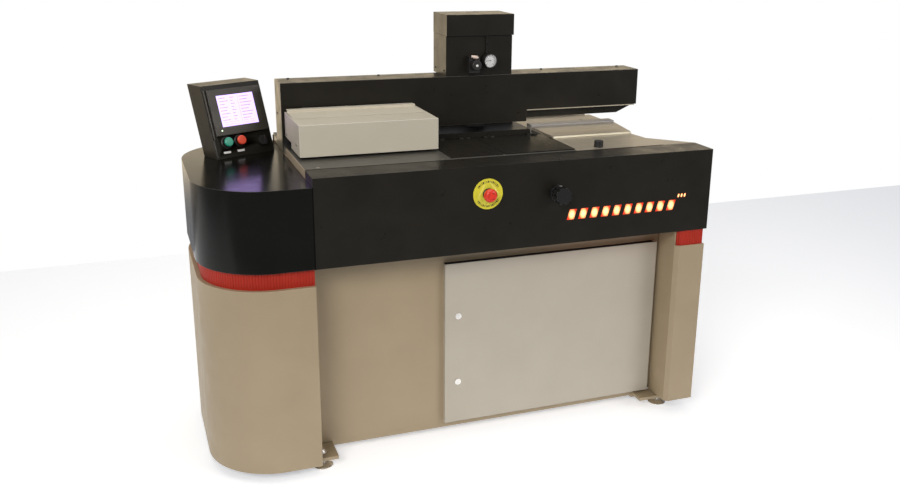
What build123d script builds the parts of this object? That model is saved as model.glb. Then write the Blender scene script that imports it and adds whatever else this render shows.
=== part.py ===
from build123d import *

import os
from math import cos, pi, radians, sin

# Perfect binding machine: a clamp carriage takes a book block over a milling head,
# a glue tank and a nipping station. Sizes in millimetres.
# Machine coordinates: X runs along the machine from the fascia's left end, Y runs
# to the back from the fascia's face, Z runs up from the floor. place() moves each
# finished piece so that the origin lies on the floor under the machine's middle.

# Whole machine
TABLE_TOP = 887
FASCIA_LENGTH = 1243
FASCIA_HEIGHT = 255.5
LIP_DEPTH = 101
BODY_DEPTH = 650
BODY_RIGHT = 1130
HOUSING_REACH = 300
HOUSING_DROP = 25
CORNER_RADIUS = 200
BAND_HEIGHT = 49.5
BAND_INSET = 12
FLANGE_WIDTH = 20
CASING_BOTTOM = 28
PANEL_RECESS = 112
PANEL_BOTTOM = 41
SHEET = 3

# Right column
COLUMN_LEFT = 1138
COLUMN_WIDTH = 100
COLUMN_BOTTOM = 44
COLUMN_CHAMFER = 12
COLUMN_REAR = 206
COLUMN_BAND_INSET = 4
COLUMN_OPENING_END = 186

# Frame
LEG_WIDTH = 50
LEG_DEPTH = 40
LEG_BOTTOM = 16
RAIL_HEIGHT = 40
BOTTOM_RAIL_LOW = 24
TUBE_WALL = 3
OUTRIGGER_HEIGHT = 30
OUTRIGGER_FRONTS = (230, 400)
BRACKET_LOW = 29
BRACKET_THICKNESS = 10
FRONT_FOOT_LEFT = (10, 52)
FRONT_FOOT_RIGHT = (1160, 85)
FOOT_MARGIN = 28
FOOT_RADIUS = 30
FOOT_RIM = 5
FOOT_HEIGHT = 14
FOOT_STEM_RADIUS = 8
FOOT_STEM_TOP = 56
FOOT_NUT_RADIUS = 13
FOOT_NUT_HEIGHT = 8

# Table
BED_THICKNESS = 18
TABLE_SHEET = 7
SPLIT_X = 829
MILLING_X = (430, 597)
GLUE_X = (599, 829)
COVER_FRONT = 120
COVER_REAR = 352
COVER_THICKNESS = 3
COVER_SEAT = 0.3
COVER_LEDGE = 11
COVER_OPEN_FRONT = 130
FINGER_NOTCH = 8
TOOL_SLOT_Y = (372, 452)
BED_WINDOW_FRONT = 157
GUIDE_BAR_X = (12, 785)
GUIDE_BAR_Y = 360
GUIDE_BAR_THICKNESS = 6
GUIDE_BAR_HEIGHT = 21
HINGE_Y = 355.5
HINGE_RISE = 4.5
HINGE_PIN_RADIUS = 2
HINGE_BARREL_RADIUS = 3.6
HINGE_LUG_WIDTH = 10
HINGE_BARREL_LENGTH = 12
HINGE_GAP = 0.5
HINGE_INSET = 40
RUNNING_GAP = 0.05
SLIDING_GAP = 0.4

# Delivery table and nipping station
TABLE_CORNER = (1129, 212)
NIP_FRONT = 290
NIP_FRONT_RIGHT = 1118
NIP_BAR_FRONT = 462
NIP_BAR_DEPTH = 40
NIP_BAR_HEIGHT = 12
NIP_BAR_RIGHT = 1146
NIP_LEFT = 834
NIP_GAP = 7
NIP_PLATE_THICKNESS = 6
NIP_CHAMFER = 2
NIP_TRAVEL = 65
NIP_WINDOW_X = (845, 1105)
NIP_WINDOW_Y = (395, 452)
NIP_BASE_MARGIN = 4
NIP_BASE_THICKNESS = 8
NIP_BASE_DROP = 7
NIP_POST_RADIUS = 10
NIP_POST_LENGTH = 74
NIP_POST_X = (900, 1050)
NIP_GUIDE_WIDTH = 50
NIP_GUIDE_Y = (380, 467)
NIP_GUIDE_HEIGHT = 72
NIP_LUG_X = 980
NIP_LUG_WIDTH = 10
NIP_LUG_Y = (375, 388)
NIP_LUG_LOW = TABLE_TOP - 61
NIP_ROD_RADIUS = 6
NIP_ROD_END = 520
NIP_CYLINDER_Y = (402, 540)
NIP_CYLINDER_WIDTH = 40
NIP_AXIS_Z = TABLE_TOP - 52
SLOT_CLEARANCE = 5
REAR_SLOT = (1062, 561)
REAR_SLOT_SIZE = (22, 7)
SCREW_RADIUS = 5
SCREW_DEPTH = 3
NIP_SCREWS = ((870, 436), (1083, 441))
KNOB_PLACE = (917, 135)
KNOB_RADIUS = 14
KNOB_HEIGHT = 20
KNOB_SHAFT_RADIUS = 4
KNOB_SHAFT_DEPTH = 22

# Door
DOOR_X = (405, 1124)
DOOR_Z = (48, 571)
DOOR_FRONT = 94
DOOR_SHEET = 2
DOOR_GAP = 0.5
DOOR_OVERLAP = 20
DOOR_AXIS_INSET = 6
DOOR_AXIS_DEPTH = 10
DOOR_CORNER_RELIEF = 4
PIVOT_RADIUS = 3
PIVOT_REACH = 10
PIVOT_PLATE = 3
PIVOT_GAP = 1
LOCK_X = 447
LOCK_Z = (184, 402)
LOCK_RADIUS = 10
LOCK_BARREL_RADIUS = 8
LOCK_PROUD = 2
LOCK_SLOT = (12, 2.5, 1)
CAM_LENGTH = 34
CAM_WIDTH = 14
CAM_THICKNESS = 3
CAM_CLEARANCE = 1

# Cabinet
MOUNT_PLATE_X = (440, 1060)
MOUNT_PLATE_TOP = 540
MOUNT_PLATE_INSET = 5
UNIT_COUNT = 5
UNIT_WIDTH = 84
UNIT_PITCH = 112
UNIT_HEIGHT = 130
UNIT_DEPTH = 60
UNIT_ROWS = (150, 350)
GLAND_PLACE = (950, 150)
GLAND_RADIUS = 10
GLAND_NUT_RADIUS = 16
GLAND_NUT = 14
GLAND_BORE = 6
VENT_COUNT = 9
VENT_PITCH = 26
VENT_SIZE = (160, 8)
VENT_LOW = (250, 300)

# Fascia controls
STOP_X = 500
STOP_Z = TABLE_TOP - 82
STOP_RING_RADIUS = 45
STOP_RING = 1.5
STOP_COLLAR_RADIUS = 15
STOP_COLLAR = 8
STOP_HEAD_RADIUS = 20
STOP_HEAD = 16
STOP_TRAVEL = 5
STOP_STEM_RADIUS = 7
STOP_BORE_RADIUS = 11
STOP_BODY_DEPTH = 45
STOP_SPINDLE_RADIUS = 4
STOP_SPINDLE_REACH = 8
ADJUST_X = 714
ADJUST_Z = TABLE_TOP - 94
ADJUST_HUB_RADIUS = 23
ADJUST_HUB = 18
ADJUST_GRIP_RADIUS = 25
ADJUST_PROUD = 55
ADJUST_NECK_RADIUS = 14
ADJUST_LOBES = 8
ADJUST_LOBE_RADIUS = 5
SPINDLE_RADIUS = 5
SLOT_X = 752
SLOT_Z = TABLE_TOP - 183
SLOT_COUNT = 10
SLOT_PITCH = 37.5
SLOT_WIDTH = 24
SLOT_HEIGHT = 32
SLOT_SLANT = 9
SMALL_SLOT_X = 1126
SMALL_SLOT_Z = TABLE_TOP - 145
SMALL_SLOT_COUNT = 3
SMALL_SLOT_PITCH = 11
SMALL_SLOT_WIDTH = 7
SMALL_SLOT_HEIGHT = 12
LIGHT_BAR_MARGIN = 8
LIGHT_BAR_THICKNESS = 6

# Milling head
MILL_X = 515
MILL_Y = 412
MILL_MOTOR_RADIUS = 65
MILL_MOTOR_Z = (TABLE_TOP - 247, TABLE_TOP - 37)
MILL_FLANGE_X = (430, 598)
MILL_FLANGE_Y = (340, 480)
MILL_FLANGE = 12
CUTTER_RADIUS = 35
CUTTER_HEIGHT = 20
CUTTER_TEETH = 8
CUTTER_NOTCH_RADIUS = 5
ARBOR_RADIUS = 8
ARBOR_LENGTH = 30
SPINE_RISE = 1

# Glue tank
TANK_X = (618, 812)
TANK_Y = (180, 450)
TANK_Z = (TABLE_TOP - 82, TABLE_TOP - 11)
TANK_WALL = 8
TANK_FLANGE = 18
TANK_FLANGE_HEIGHT = 12
ROLLER_X = (675, 745)
ROLLER_RADIUS = 30
ROLLER_Y = (376, 438)
ROLLER_SHAFT_RADIUS = 8
ROLLER_SHAFT_FRONT = 166
DRIVE_X = (640, 808)
DRIVE_Y = (158, 180)
DRIVE_Z = (TABLE_TOP - 112, TABLE_TOP - 15)
DRIVE_MOTOR_RADIUS = 28
DRIVE_MOTOR_LENGTH = 85
DRIVE_MOTOR_X = 680
BLADE_SHAFT_X = 793
BLADE_SHAFT_Z = TABLE_TOP - 23
BLADE_SHAFT_RADIUS = 5
BLADE_REACH = 11
BLADE_THICKNESS = 2

# Beam
BEAM_LENGTH = 1225
BEAM_Y = (454.5, 558)
BEAM_TOP = TABLE_TOP + 187
BEAM_BOTTOM = TABLE_TOP + 67
SKIRT_END = 812
SKIRT_BOTTOM = TABLE_TOP + 28
BEAM_REAR_BOTTOM = TABLE_TOP + 113
GUARD_Y = 475
GUARD_BOTTOM = TABLE_TOP + 37
GUARD_CHAMFER = (1222, 1160)
GUARD_CHAMFER_Z = TABLE_TOP + 64
CORE_X = (20, 1200)
CORE_Y = (505, 550)
CORE_Z = (TABLE_TOP + 103, TABLE_TOP + 173)
RAIL_X = (60, 1195)
RAIL_WIDTH = 20
GUIDE_RAIL_HEIGHT = 18
POST_X = (30, 640)
POST_WIDTH = 60
POST_DEPTH = 50
POST_TOP = TABLE_TOP + 168
POST_NOTCH = 2
PAD_X = (100, 600, 1080)
PAD_LENGTH = 60
PULLEY_X = (75, 1180)
PULLEY_RADIUS = 17.7
PULLEY_Z = (TABLE_TOP + 89, TABLE_TOP + 107)
BELT_Z = (TABLE_TOP + 90, TABLE_TOP + 106)
BELT_THICKNESS = 2
BELT_GAP = 0.3
BELT_SIDE_GAP = 3.5
BELT_ARM_GAP = 0.5
DRIVE_SHAFT_RADIUS = 6
SHAFT_CLEARANCE = 4
BELT_MOTOR_RADIUS = 28
BELT_MOTOR_LENGTH = 160
IDLER_PIN_RADIUS = 4
IDLER_PIN_RISE = 11
IDLER_BRACKET = 15
END_SLOT_PLACE = (528, TABLE_TOP + 84)
END_SLOT_SIZE = (16, 6)

# Clamp carriage
HOOD_X = (9, 424)
HOOD_Y = (217, 450.5)
HOOD_Z = (TABLE_TOP + 8, TABLE_TOP + 101)
HOOD_WALL = 2.5
HOOD_NOTCH_Y = 352
HOOD_NOTCH_TOP = TABLE_TOP + 25
THROAT_X = (52, 415)
THROAT_FRONT = 362
JAW_X = (55, 412)
JAW_SIDE_GAP = 1
JAW_BOTTOM = TABLE_TOP + 9.5
JAW_TOP = TABLE_TOP + 111
REAR_JAW = 8.5
FRONT_JAW = 18
JAW_REST_GAP = 8
SHIELD_FRONT = 356
SHIELD_RISE = 0.8
SHIELD_SHEET = 2
SIDE_PLATE = 9
FRAME_FRONT = 235
FRONT_PLATE = 12
SIDE_PLATE_LOW = TABLE_TOP + 25
FOOT_PLATE_Z = (TABLE_TOP + 15, TABLE_TOP + 25)
FOOT_PLATE_REAR = 546
SHAFT_NOTCH_X = 100
FOOT_STRIP_REAR = 466
BLOCK_X = (100, 270)
BLOCK_LENGTH = 70
BLOCK_Y = (505.5, 549.5)
BLOCK_TOP = TABLE_TOP + 98
BELT_ARM_X = (200, 230)
BELT_ARM_TOP = TABLE_TOP + 102
CYLINDER_COUNT = 3
CYLINDER_WIDTH = 50
CYLINDER_LENGTH = 63
CYLINDER_PITCH = 130
CLAMP_ROD_RADIUS = 6
CLAMP_AXIS_Z = TABLE_TOP + 63
CLAMP_ROD_START = 292

# Tower
TOWER_X = (529.5, 750)
TOWER_Y = (460, 587)
TOWER_JOINT = TABLE_TOP + 313
LID_X = (529, 758)
LID_FRONT = 452
LID_TOP = TABLE_TOP + 380
LID_SEAT = 0.7
TOWER_WALL = 2.5
LID_HINGE_Y = 592
LID_LUG_X = (560, 720)
VALVE_X = (560, 720)
VALVE_Y = (490, 560)
VALVE_BASE = 34
VALVE_COUNT = 5
VALVE_WIDTH = 24
VALVE_PITCH = 32
VALVE_HEIGHT = 50
REGULATOR_X = 618
REGULATOR_Z = TABLE_TOP + 224
REGULATOR_WIDTH = 36
REGULATOR_DEPTH = 24
REGULATOR_HEIGHT = 52
REGULATOR_KNOB_RADIUS = 16
REGULATOR_KNOB = 24
REGULATOR_STEM_RADIUS = 5
REGULATOR_STEM = 12
GAUGE_X = 672
GAUGE_Z = TABLE_TOP + 235
GAUGE_RADIUS = 23
GAUGE_FRONT = 432
GAUGE_CASE = 20
GAUGE_RIM = 2
GAUGE_RECESS = 7
GAUGE_STUB_RADIUS = 7
NEEDLE_LENGTH = 15
NEEDLE_TAIL = 5
NEEDLE_WIDTH = 1.6
NEEDLE_THICKNESS = 1
NEEDLE_PIN_RADIUS = 1
NEEDLE_PIN = 3

# Console
CONSOLE_PLACE = (-200.8, 409)
CONSOLE_YAW = 26
CONSOLE_WIDTH = 203
CONSOLE_HEIGHT = 209
CONSOLE_SETBACK = 70
CONSOLE_DEPTH = 72
CONSOLE_WALL = 3
PANEL_U = (13, 200)
PANEL_V = (67, 206)
PANEL_PROUD = 6
PANEL_BEHIND = 22
PANEL_BODY_INSET = 14
SCREEN_U = (41, 168)
SCREEN_V = (92, 187)
SCREEN_RECESS = 1
BUTTON_U = (44.5, 89.5)
BUTTON_V = 46
MODE_U = 166.5
MODE_V = 36
COLLAR_RADIUS = 16
COLLAR_PROUD = 4
CAP_RADIUS = 14
CAP_HEIGHT = 8
CAP_GAP = 5
BUTTON_STEM_RADIUS = 8
BUTTON_STEM = 14
MODE_RADIUS = 15
MODE_HEIGHT = 9
MODE_GRIP = (28, 8, 9)

# Worked out from the sizes above
FASCIA_BOTTOM = TABLE_TOP - FASCIA_HEIGHT
HOUSING_TOP = TABLE_TOP - HOUSING_DROP
BAND_BOTTOM = FASCIA_BOTTOM - BAND_HEIGHT
BED_TOP = TABLE_TOP - TABLE_SHEET
BED_BOTTOM = BED_TOP - BED_THICKNESS
PANEL_BACK = PANEL_RECESS + SHEET
LEG_FRONTS = (PANEL_BACK, BODY_DEPTH - SHEET - LEG_DEPTH)
LEG_LEFTS = (SHEET, BODY_RIGHT - SHEET - LEG_WIDTH)
MOUNT_PLATE_Y = LEG_FRONTS[1] + MOUNT_PLATE_INSET
INNER_RIGHT = BODY_RIGHT - SHEET
INNER_REAR = BODY_DEPTH - SHEET
BOTTOM_RAIL_TOP = BOTTOM_RAIL_LOW + RAIL_HEIGHT
SPINE_Z = TABLE_TOP + SPINE_RISE
ROLLER_Z = SPINE_Z - ROLLER_RADIUS
HINGE_Z = TABLE_TOP + HINGE_RISE
COVER_Z = (TABLE_TOP + COVER_SEAT, TABLE_TOP + COVER_SEAT + COVER_THICKNESS)
NIP_PLATE_Z = (TABLE_TOP + SLIDING_GAP, TABLE_TOP + SLIDING_GAP + NIP_PLATE_THICKNESS)
NIP_REAR = NIP_BAR_FRONT - NIP_GAP
REAR_JAW_FRONT = HOOD_Y[1] - REAR_JAW
FRONT_JAW_Y = (REAR_JAW_FRONT - JAW_REST_GAP - FRONT_JAW, REAR_JAW_FRONT - JAW_REST_GAP)
BELT_RADIUS = PULLEY_RADIUS + BELT_GAP + BELT_THICKNESS
PULLEY_Y = BEAM_Y[0] + SHEET + BELT_SIDE_GAP + BELT_RADIUS
BELT_ARM_FRONT = PULLEY_Y + BELT_RADIUS + BELT_ARM_GAP
DOOR_AXIS = (DOOR_X[1] - DOOR_AXIS_INSET, DOOR_FRONT + DOOR_AXIS_DEPTH)
LID_HINGE_Z = TOWER_JOINT + LID_SEAT
GLAND_OUT = BODY_DEPTH + GLAND_NUT
CENTRE_X = (FASCIA_LENGTH - HOUSING_REACH) / 2
CENTRE_Y = (GLAND_OUT - ADJUST_PROUD) / 2

# Console frame: U runs along its width, V up its sloping face, W out of the face
YAW = radians(CONSOLE_YAW)
ALONG = Vector(cos(YAW), sin(YAW), 0)
UPWARD = (Vector(-sin(YAW), cos(YAW), 0) * CONSOLE_SETBACK + Vector(0, 0, CONSOLE_HEIGHT)).normalized()
CONSOLE_ORIGIN = Vector(*CONSOLE_PLACE, HOUSING_TOP)
FACE = Plane(origin=CONSOLE_ORIGIN, x_dir=ALONG, z_dir=ALONG.cross(UPWARD)).location
BASE = Plane(origin=CONSOLE_ORIGIN, x_dir=ALONG, z_dir=Vector(0, 0, 1)).location


def block(x, y, z):
    """Box between a low and a high limit on each axis."""
    limits = (x, y, z)
    size = [high - low for low, high in limits]
    middle = [(high + low) / 2 for low, high in limits]
    return Pos(*middle) * Box(*size)


def around(middle, width):
    return (middle - width / 2, middle + width / 2)


def rod_x(radius, x, y, z):
    return Pos(sum(x) / 2, y, z) * Rot(0, 90, 0) * Cylinder(radius, x[1] - x[0])


def rod_y(radius, x, y, z):
    return Pos(x, sum(y) / 2, z) * Rot(90, 0, 0) * Cylinder(radius, y[1] - y[0])


def rod_z(radius, x, y, z):
    return Pos(x, y, sum(z) / 2) * Cylinder(radius, z[1] - z[0])


def prism(points, z):
    """Upright prism on a plan outline."""
    plan = make_face(Polyline(*points, close=True))
    return Pos(0, 0, z[0]) * extrude(plan, z[1] - z[0])


def group(pieces):
    """Separate solids of one kind that share a node."""
    return Compound([solid for piece in pieces for solid in piece.solids()])


def place(piece):
    """Move a piece to the machine's own origin, solid by solid."""
    move = Pos(-CENTRE_X, -CENTRE_Y, 0)
    return group([move * solid for solid in piece.solids()])


# Left end: casing, band and housing share one plan with two round corners
def rounded_plan(inset, z, right=0):
    low, high = inset, BODY_DEPTH - inset
    left = inset - HOUSING_REACH
    radius = CORNER_RADIUS - inset
    corner_x = left + radius
    plan = Pos((left + corner_x) / 2, (low + high) / 2) * Rectangle(radius, high - low - 2 * radius)
    for corner_y in (low + radius, high - radius):
        plan += Pos(corner_x, corner_y) * Circle(radius)
    plan += Pos(corner_x + radius, (low + high) / 2) * Rectangle(2 * radius, high - low)
    plan &= Pos((left + right) / 2, (low + high) / 2) * Rectangle(right - left, high - low)
    return Pos(0, 0, z[0]) * extrude(plan, z[1] - z[0])


def rounded_ring(inset, z, width):
    return rounded_plan(inset, z) - rounded_plan(inset + width, z, right=SHEET)


def left_casing():
    casing = rounded_ring(0, (CASING_BOTTOM, BAND_BOTTOM), SHEET)
    casing += rounded_ring(0, (BAND_BOTTOM - SHEET, BAND_BOTTOM), FLANGE_WIDTH)
    return casing + block((-SHEET, 0), (0, PANEL_RECESS), (PANEL_BOTTOM, BAND_BOTTOM))


def left_housing():
    housing = rounded_ring(0, (FASCIA_BOTTOM, HOUSING_TOP), SHEET)
    housing += rounded_ring(0, (FASCIA_BOTTOM, FASCIA_BOTTOM + SHEET), FLANGE_WIDTH)
    return housing + rounded_plan(0, (HOUSING_TOP - SHEET, HOUSING_TOP))


# Right end: column and band share one plan with a chamfered front edge
def column_plan(inset, z):
    right = COLUMN_LEFT + COLUMN_WIDTH
    points = [
        (COLUMN_LEFT, PANEL_BACK),
        (COLUMN_LEFT, COLUMN_CHAMFER),
        (COLUMN_LEFT + COLUMN_CHAMFER, 0),
        (right, 0),
        (right, LIP_DEPTH),
        (BODY_RIGHT, COLUMN_REAR),
    ]
    plan = make_face(Polyline(*points, close=True))
    if inset:
        plan = offset(plan, -inset, kind=Kind.INTERSECTION)
    return Pos(0, 0, z[0]) * extrude(plan, z[1] - z[0])


def column_ring(inset, z, width):
    ring = column_plan(inset, z) - column_plan(inset + width, z)
    throat = block((BODY_RIGHT - LEG_WIDTH, COLUMN_LEFT + width), (PANEL_BACK, COLUMN_OPENING_END), z)
    return ring - throat


def right_column():
    column = column_ring(0, (COLUMN_BOTTOM, BAND_BOTTOM), SHEET)
    return column + column_ring(0, (BAND_BOTTOM - SHEET, BAND_BOTTOM), FLANGE_WIDTH)


def red_bands():
    span = (BAND_BOTTOM, FASCIA_BOTTOM)
    return group([rounded_ring(BAND_INSET, span, SHEET), column_ring(COLUMN_BAND_INSET, span, SHEET)])


# Welded frame of square tubes
def tube(x, y, z):
    """Square tube along its longest side, open at both ends."""
    limits = [x, y, z]
    lengths = [high - low for low, high in limits]
    bore = []
    for (low, high), length in zip(limits, lengths):
        along = length == max(lengths)
        bore.append((low, high) if along else (low + TUBE_WALL, high - TUBE_WALL))
    return block(x, y, z) - block(*bore)


def foot_places():
    """Front feet stand ahead of their legs, rear feet in the frame's inner corners."""
    rear_y = LEG_FRONTS[1] - FOOT_MARGIN
    inset = LEG_DEPTH + FOOT_MARGIN
    return [FRONT_FOOT_LEFT, FRONT_FOOT_RIGHT, (SHEET + inset, rear_y), (INNER_RIGHT - inset, rear_y)]


def foot_brackets():
    """Plates welded to the legs and rails, one over each foot."""
    plates = []
    level = (BRACKET_LOW, BRACKET_LOW + BRACKET_THICKNESS)
    for index, (x, y) in enumerate(foot_places()):
        plate_x = around(x, 2 * FOOT_MARGIN)
        if index < len(LEG_LEFTS):
            leg_x = LEG_LEFTS[index]
            plate_x = (min(leg_x, plate_x[0]), max(leg_x + LEG_WIDTH, plate_x[1]))
        plate = block(plate_x, (y - FOOT_MARGIN, LEG_FRONTS[index // len(LEG_FRONTS)]), level)
        plates.append(plate - rod_z(FOOT_STEM_RADIUS, x, y, (0, FOOT_STEM_TOP)))
    return plates


def base_frame():
    top = (BED_BOTTOM - RAIL_HEIGHT, BED_BOTTOM)
    bottom = (BOTTOM_RAIL_LOW, BOTTOM_RAIL_TOP)
    pieces = []
    for left in LEG_LEFTS:
        for front in LEG_FRONTS:
            pieces.append(tube((left, left + LEG_WIDTH), (front, front + LEG_DEPTH), (LEG_BOTTOM, BED_BOTTOM)))
    between_x = (LEG_LEFTS[0] + LEG_WIDTH, LEG_LEFTS[1])
    between_y = (LEG_FRONTS[0] + LEG_DEPTH, LEG_FRONTS[1])
    for level in (top, bottom):
        for front in LEG_FRONTS:
            pieces.append(tube(between_x, (front, front + LEG_DEPTH), level))
        pieces.append(tube((SHEET, SHEET + LEG_DEPTH), between_y, level))
        pieces.append(tube((INNER_RIGHT - LEG_DEPTH, INNER_RIGHT), between_y, level))
    reach = (SHEET - HOUSING_REACH, SHEET)
    low_outrigger = (BOTTOM_RAIL_TOP - OUTRIGGER_HEIGHT, BOTTOM_RAIL_TOP)
    high_outrigger = (HOUSING_TOP - SHEET - OUTRIGGER_HEIGHT, HOUSING_TOP - SHEET)
    for level in (low_outrigger, high_outrigger):
        for front in OUTRIGGER_FRONTS:
            pieces.append(tube(reach, (front, front + RAIL_HEIGHT), level))
    return group(pieces + foot_brackets())


def levelling_feet():
    feet = []
    for x, y in foot_places():
        foot = rod_z(FOOT_RADIUS, x, y, (0, FOOT_RIM))
        cone = Cone(FOOT_RADIUS, FOOT_NUT_RADIUS, FOOT_HEIGHT - FOOT_RIM)
        foot += Pos(x, y, (FOOT_RIM + FOOT_HEIGHT) / 2) * cone
        foot += rod_z(FOOT_STEM_RADIUS, x, y, (FOOT_HEIGHT, FOOT_STEM_TOP))
        nut = extrude(RegularPolygon(FOOT_NUT_RADIUS, 6), FOOT_NUT_HEIGHT)
        foot += Pos(x, y, BRACKET_LOW - FOOT_NUT_HEIGHT) * nut
        feet.append(foot)
    return group(feet)


# Panels of the cabinet
def front_panel():
    """Recessed panel with the door opening and the two pivots of the door."""
    panel = block((0, COLUMN_LEFT), (PANEL_RECESS, PANEL_BACK), (PANEL_BOTTOM, FASCIA_BOTTOM + BRACKET_THICKNESS))
    window_x = (DOOR_X[0] + DOOR_OVERLAP, DOOR_X[1] - DOOR_OVERLAP)
    window_z = (DOOR_Z[0] + DOOR_OVERLAP, DOOR_Z[1] - DOOR_OVERLAP)
    panel -= block(window_x, (PANEL_RECESS, PANEL_BACK), window_z)
    x, y = DOOR_AXIS
    top_arm = (DOOR_Z[1] + PIVOT_GAP, DOOR_Z[1] + PIVOT_GAP + PIVOT_PLATE)
    bottom_arm = (DOOR_Z[0] - PIVOT_GAP - PIVOT_PLATE, DOOR_Z[0] - PIVOT_GAP)
    for arm, pin_end in ((top_arm, DOOR_Z[1] - PIVOT_REACH), (bottom_arm, DOOR_Z[0] + PIVOT_REACH)):
        panel += block(around(x, 4 * PIVOT_RADIUS), (y - 2 * PIVOT_RADIUS, PANEL_RECESS), arm)
        panel += rod_z(PIVOT_RADIUS, x, y, sorted((sum(arm) / 2, pin_end)))
    return panel


def rear_panel():
    span = (PANEL_BOTTOM, BED_TOP)
    panel = block((0, BODY_RIGHT), (INNER_REAR, BODY_DEPTH), span)
    panel += block((INNER_RIGHT, BODY_RIGHT), (COLUMN_REAR, BODY_DEPTH), span)
    for index in range(VENT_COUNT):
        low = VENT_LOW[1] + index * VENT_PITCH
        vent_x = (VENT_LOW[0], VENT_LOW[0] + VENT_SIZE[0])
        panel -= block(vent_x, (INNER_REAR, BODY_DEPTH), (low, low + VENT_SIZE[1]))
    return panel - rod_y(GLAND_RADIUS, GLAND_PLACE[0], (INNER_REAR, BODY_DEPTH), GLAND_PLACE[1])


def cable_gland():
    x, z = GLAND_PLACE
    gland = rod_y(GLAND_RADIUS, x, (INNER_REAR - GLAND_NUT / 2, GLAND_OUT), z)
    nut = Rot(90, 0, 0) * extrude(RegularPolygon(GLAND_NUT_RADIUS, 6), GLAND_NUT)
    gland += Pos(x, GLAND_OUT, z) * nut
    gland += Pos(x, INNER_REAR, z) * Rot(90, 0, 0) * extrude(RegularPolygon(GLAND_NUT_RADIUS, 6), GLAND_NUT / 2)
    return gland - rod_y(GLAND_BORE, x, (INNER_REAR - GLAND_NUT, GLAND_OUT), z)


def control_units():
    plate = block(MOUNT_PLATE_X, (MOUNT_PLATE_Y - TUBE_WALL, MOUNT_PLATE_Y), (BOTTOM_RAIL_TOP, MOUNT_PLATE_TOP))
    pieces = [plate]
    front = plate.bounding_box().min.Y
    for low in UNIT_ROWS:
        for index in range(UNIT_COUNT):
            left = MOUNT_PLATE_X[0] + UNIT_PITCH * (index + 1 / 4)
            pieces.append(block((left, left + UNIT_WIDTH), (front - UNIT_DEPTH, front), (low, low + UNIT_HEIGHT)))
    return group(pieces)


# Door with its pivots and quarter-turn locks
def cabinet_door():
    rear = PANEL_RECESS - DOOR_GAP
    door = block(DOOR_X, (DOOR_FRONT, rear), DOOR_Z)
    inner_x = (DOOR_X[0] + DOOR_SHEET, DOOR_X[1] - DOOR_SHEET)
    inner_z = (DOOR_Z[0] + DOOR_SHEET, DOOR_Z[1] - DOOR_SHEET)
    door -= block(inner_x, (DOOR_FRONT + DOOR_SHEET, rear), inner_z)
    door -= block((DOOR_AXIS[0] - PIVOT_GAP, DOOR_X[1]), (DOOR_AXIS[1] + DOOR_CORNER_RELIEF, rear), DOOR_Z)
    door -= rod_z(PIVOT_RADIUS + RUNNING_GAP, *DOOR_AXIS, DOOR_Z)
    for z in LOCK_Z:
        door -= rod_y(LOCK_BARREL_RADIUS + RUNNING_GAP, LOCK_X, (DOOR_FRONT, rear), z)
    return door


def quarter_turn_lock(z):
    cam_front = PANEL_BACK + CAM_CLEARANCE
    lock = rod_y(LOCK_RADIUS, LOCK_X, (DOOR_FRONT - LOCK_PROUD, DOOR_FRONT - RUNNING_GAP), z)
    lock += rod_y(LOCK_BARREL_RADIUS, LOCK_X, (DOOR_FRONT - RUNNING_GAP, cam_front), z)
    cam_z = (z - CAM_LENGTH, z + LOCK_BARREL_RADIUS)
    lock += block(around(LOCK_X, CAM_WIDTH), (cam_front, cam_front + CAM_THICKNESS), cam_z)
    length, width, depth = LOCK_SLOT
    front = DOOR_FRONT - LOCK_PROUD
    return lock - block(around(LOCK_X, width), (front, front + depth), around(z, length))


# Fascia with its slots and controls
def slanted_slot(x, z, width, height):
    slant = SLOT_SLANT * height / SLOT_HEIGHT
    points = [(x, z), (x + width, z), (x + width + slant, z + height), (x + slant, z + height)]
    face = make_face(Polyline(*points, close=True))
    return Rot(90, 0, 0) * Pos(0, 0, -SHEET) * extrude(face, SHEET)


def light_slots():
    slots = []
    for index in range(SLOT_COUNT):
        slots.append(slanted_slot(SLOT_X + index * SLOT_PITCH, SLOT_Z, SLOT_WIDTH, SLOT_HEIGHT))
    for index in range(SMALL_SLOT_COUNT):
        x = SMALL_SLOT_X + index * SMALL_SLOT_PITCH
        slots.append(slanted_slot(x, SMALL_SLOT_Z, SMALL_SLOT_WIDTH, SMALL_SLOT_HEIGHT))
    return slots


def light_bar():
    right = SMALL_SLOT_X + SMALL_SLOT_COUNT * SMALL_SLOT_PITCH + LIGHT_BAR_MARGIN
    top = SMALL_SLOT_Z + SMALL_SLOT_HEIGHT + LIGHT_BAR_MARGIN
    span_z = (SLOT_Z - LIGHT_BAR_MARGIN, top)
    return block((SLOT_X - LIGHT_BAR_MARGIN, right), (SHEET, SHEET + LIGHT_BAR_THICKNESS), span_z)


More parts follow.
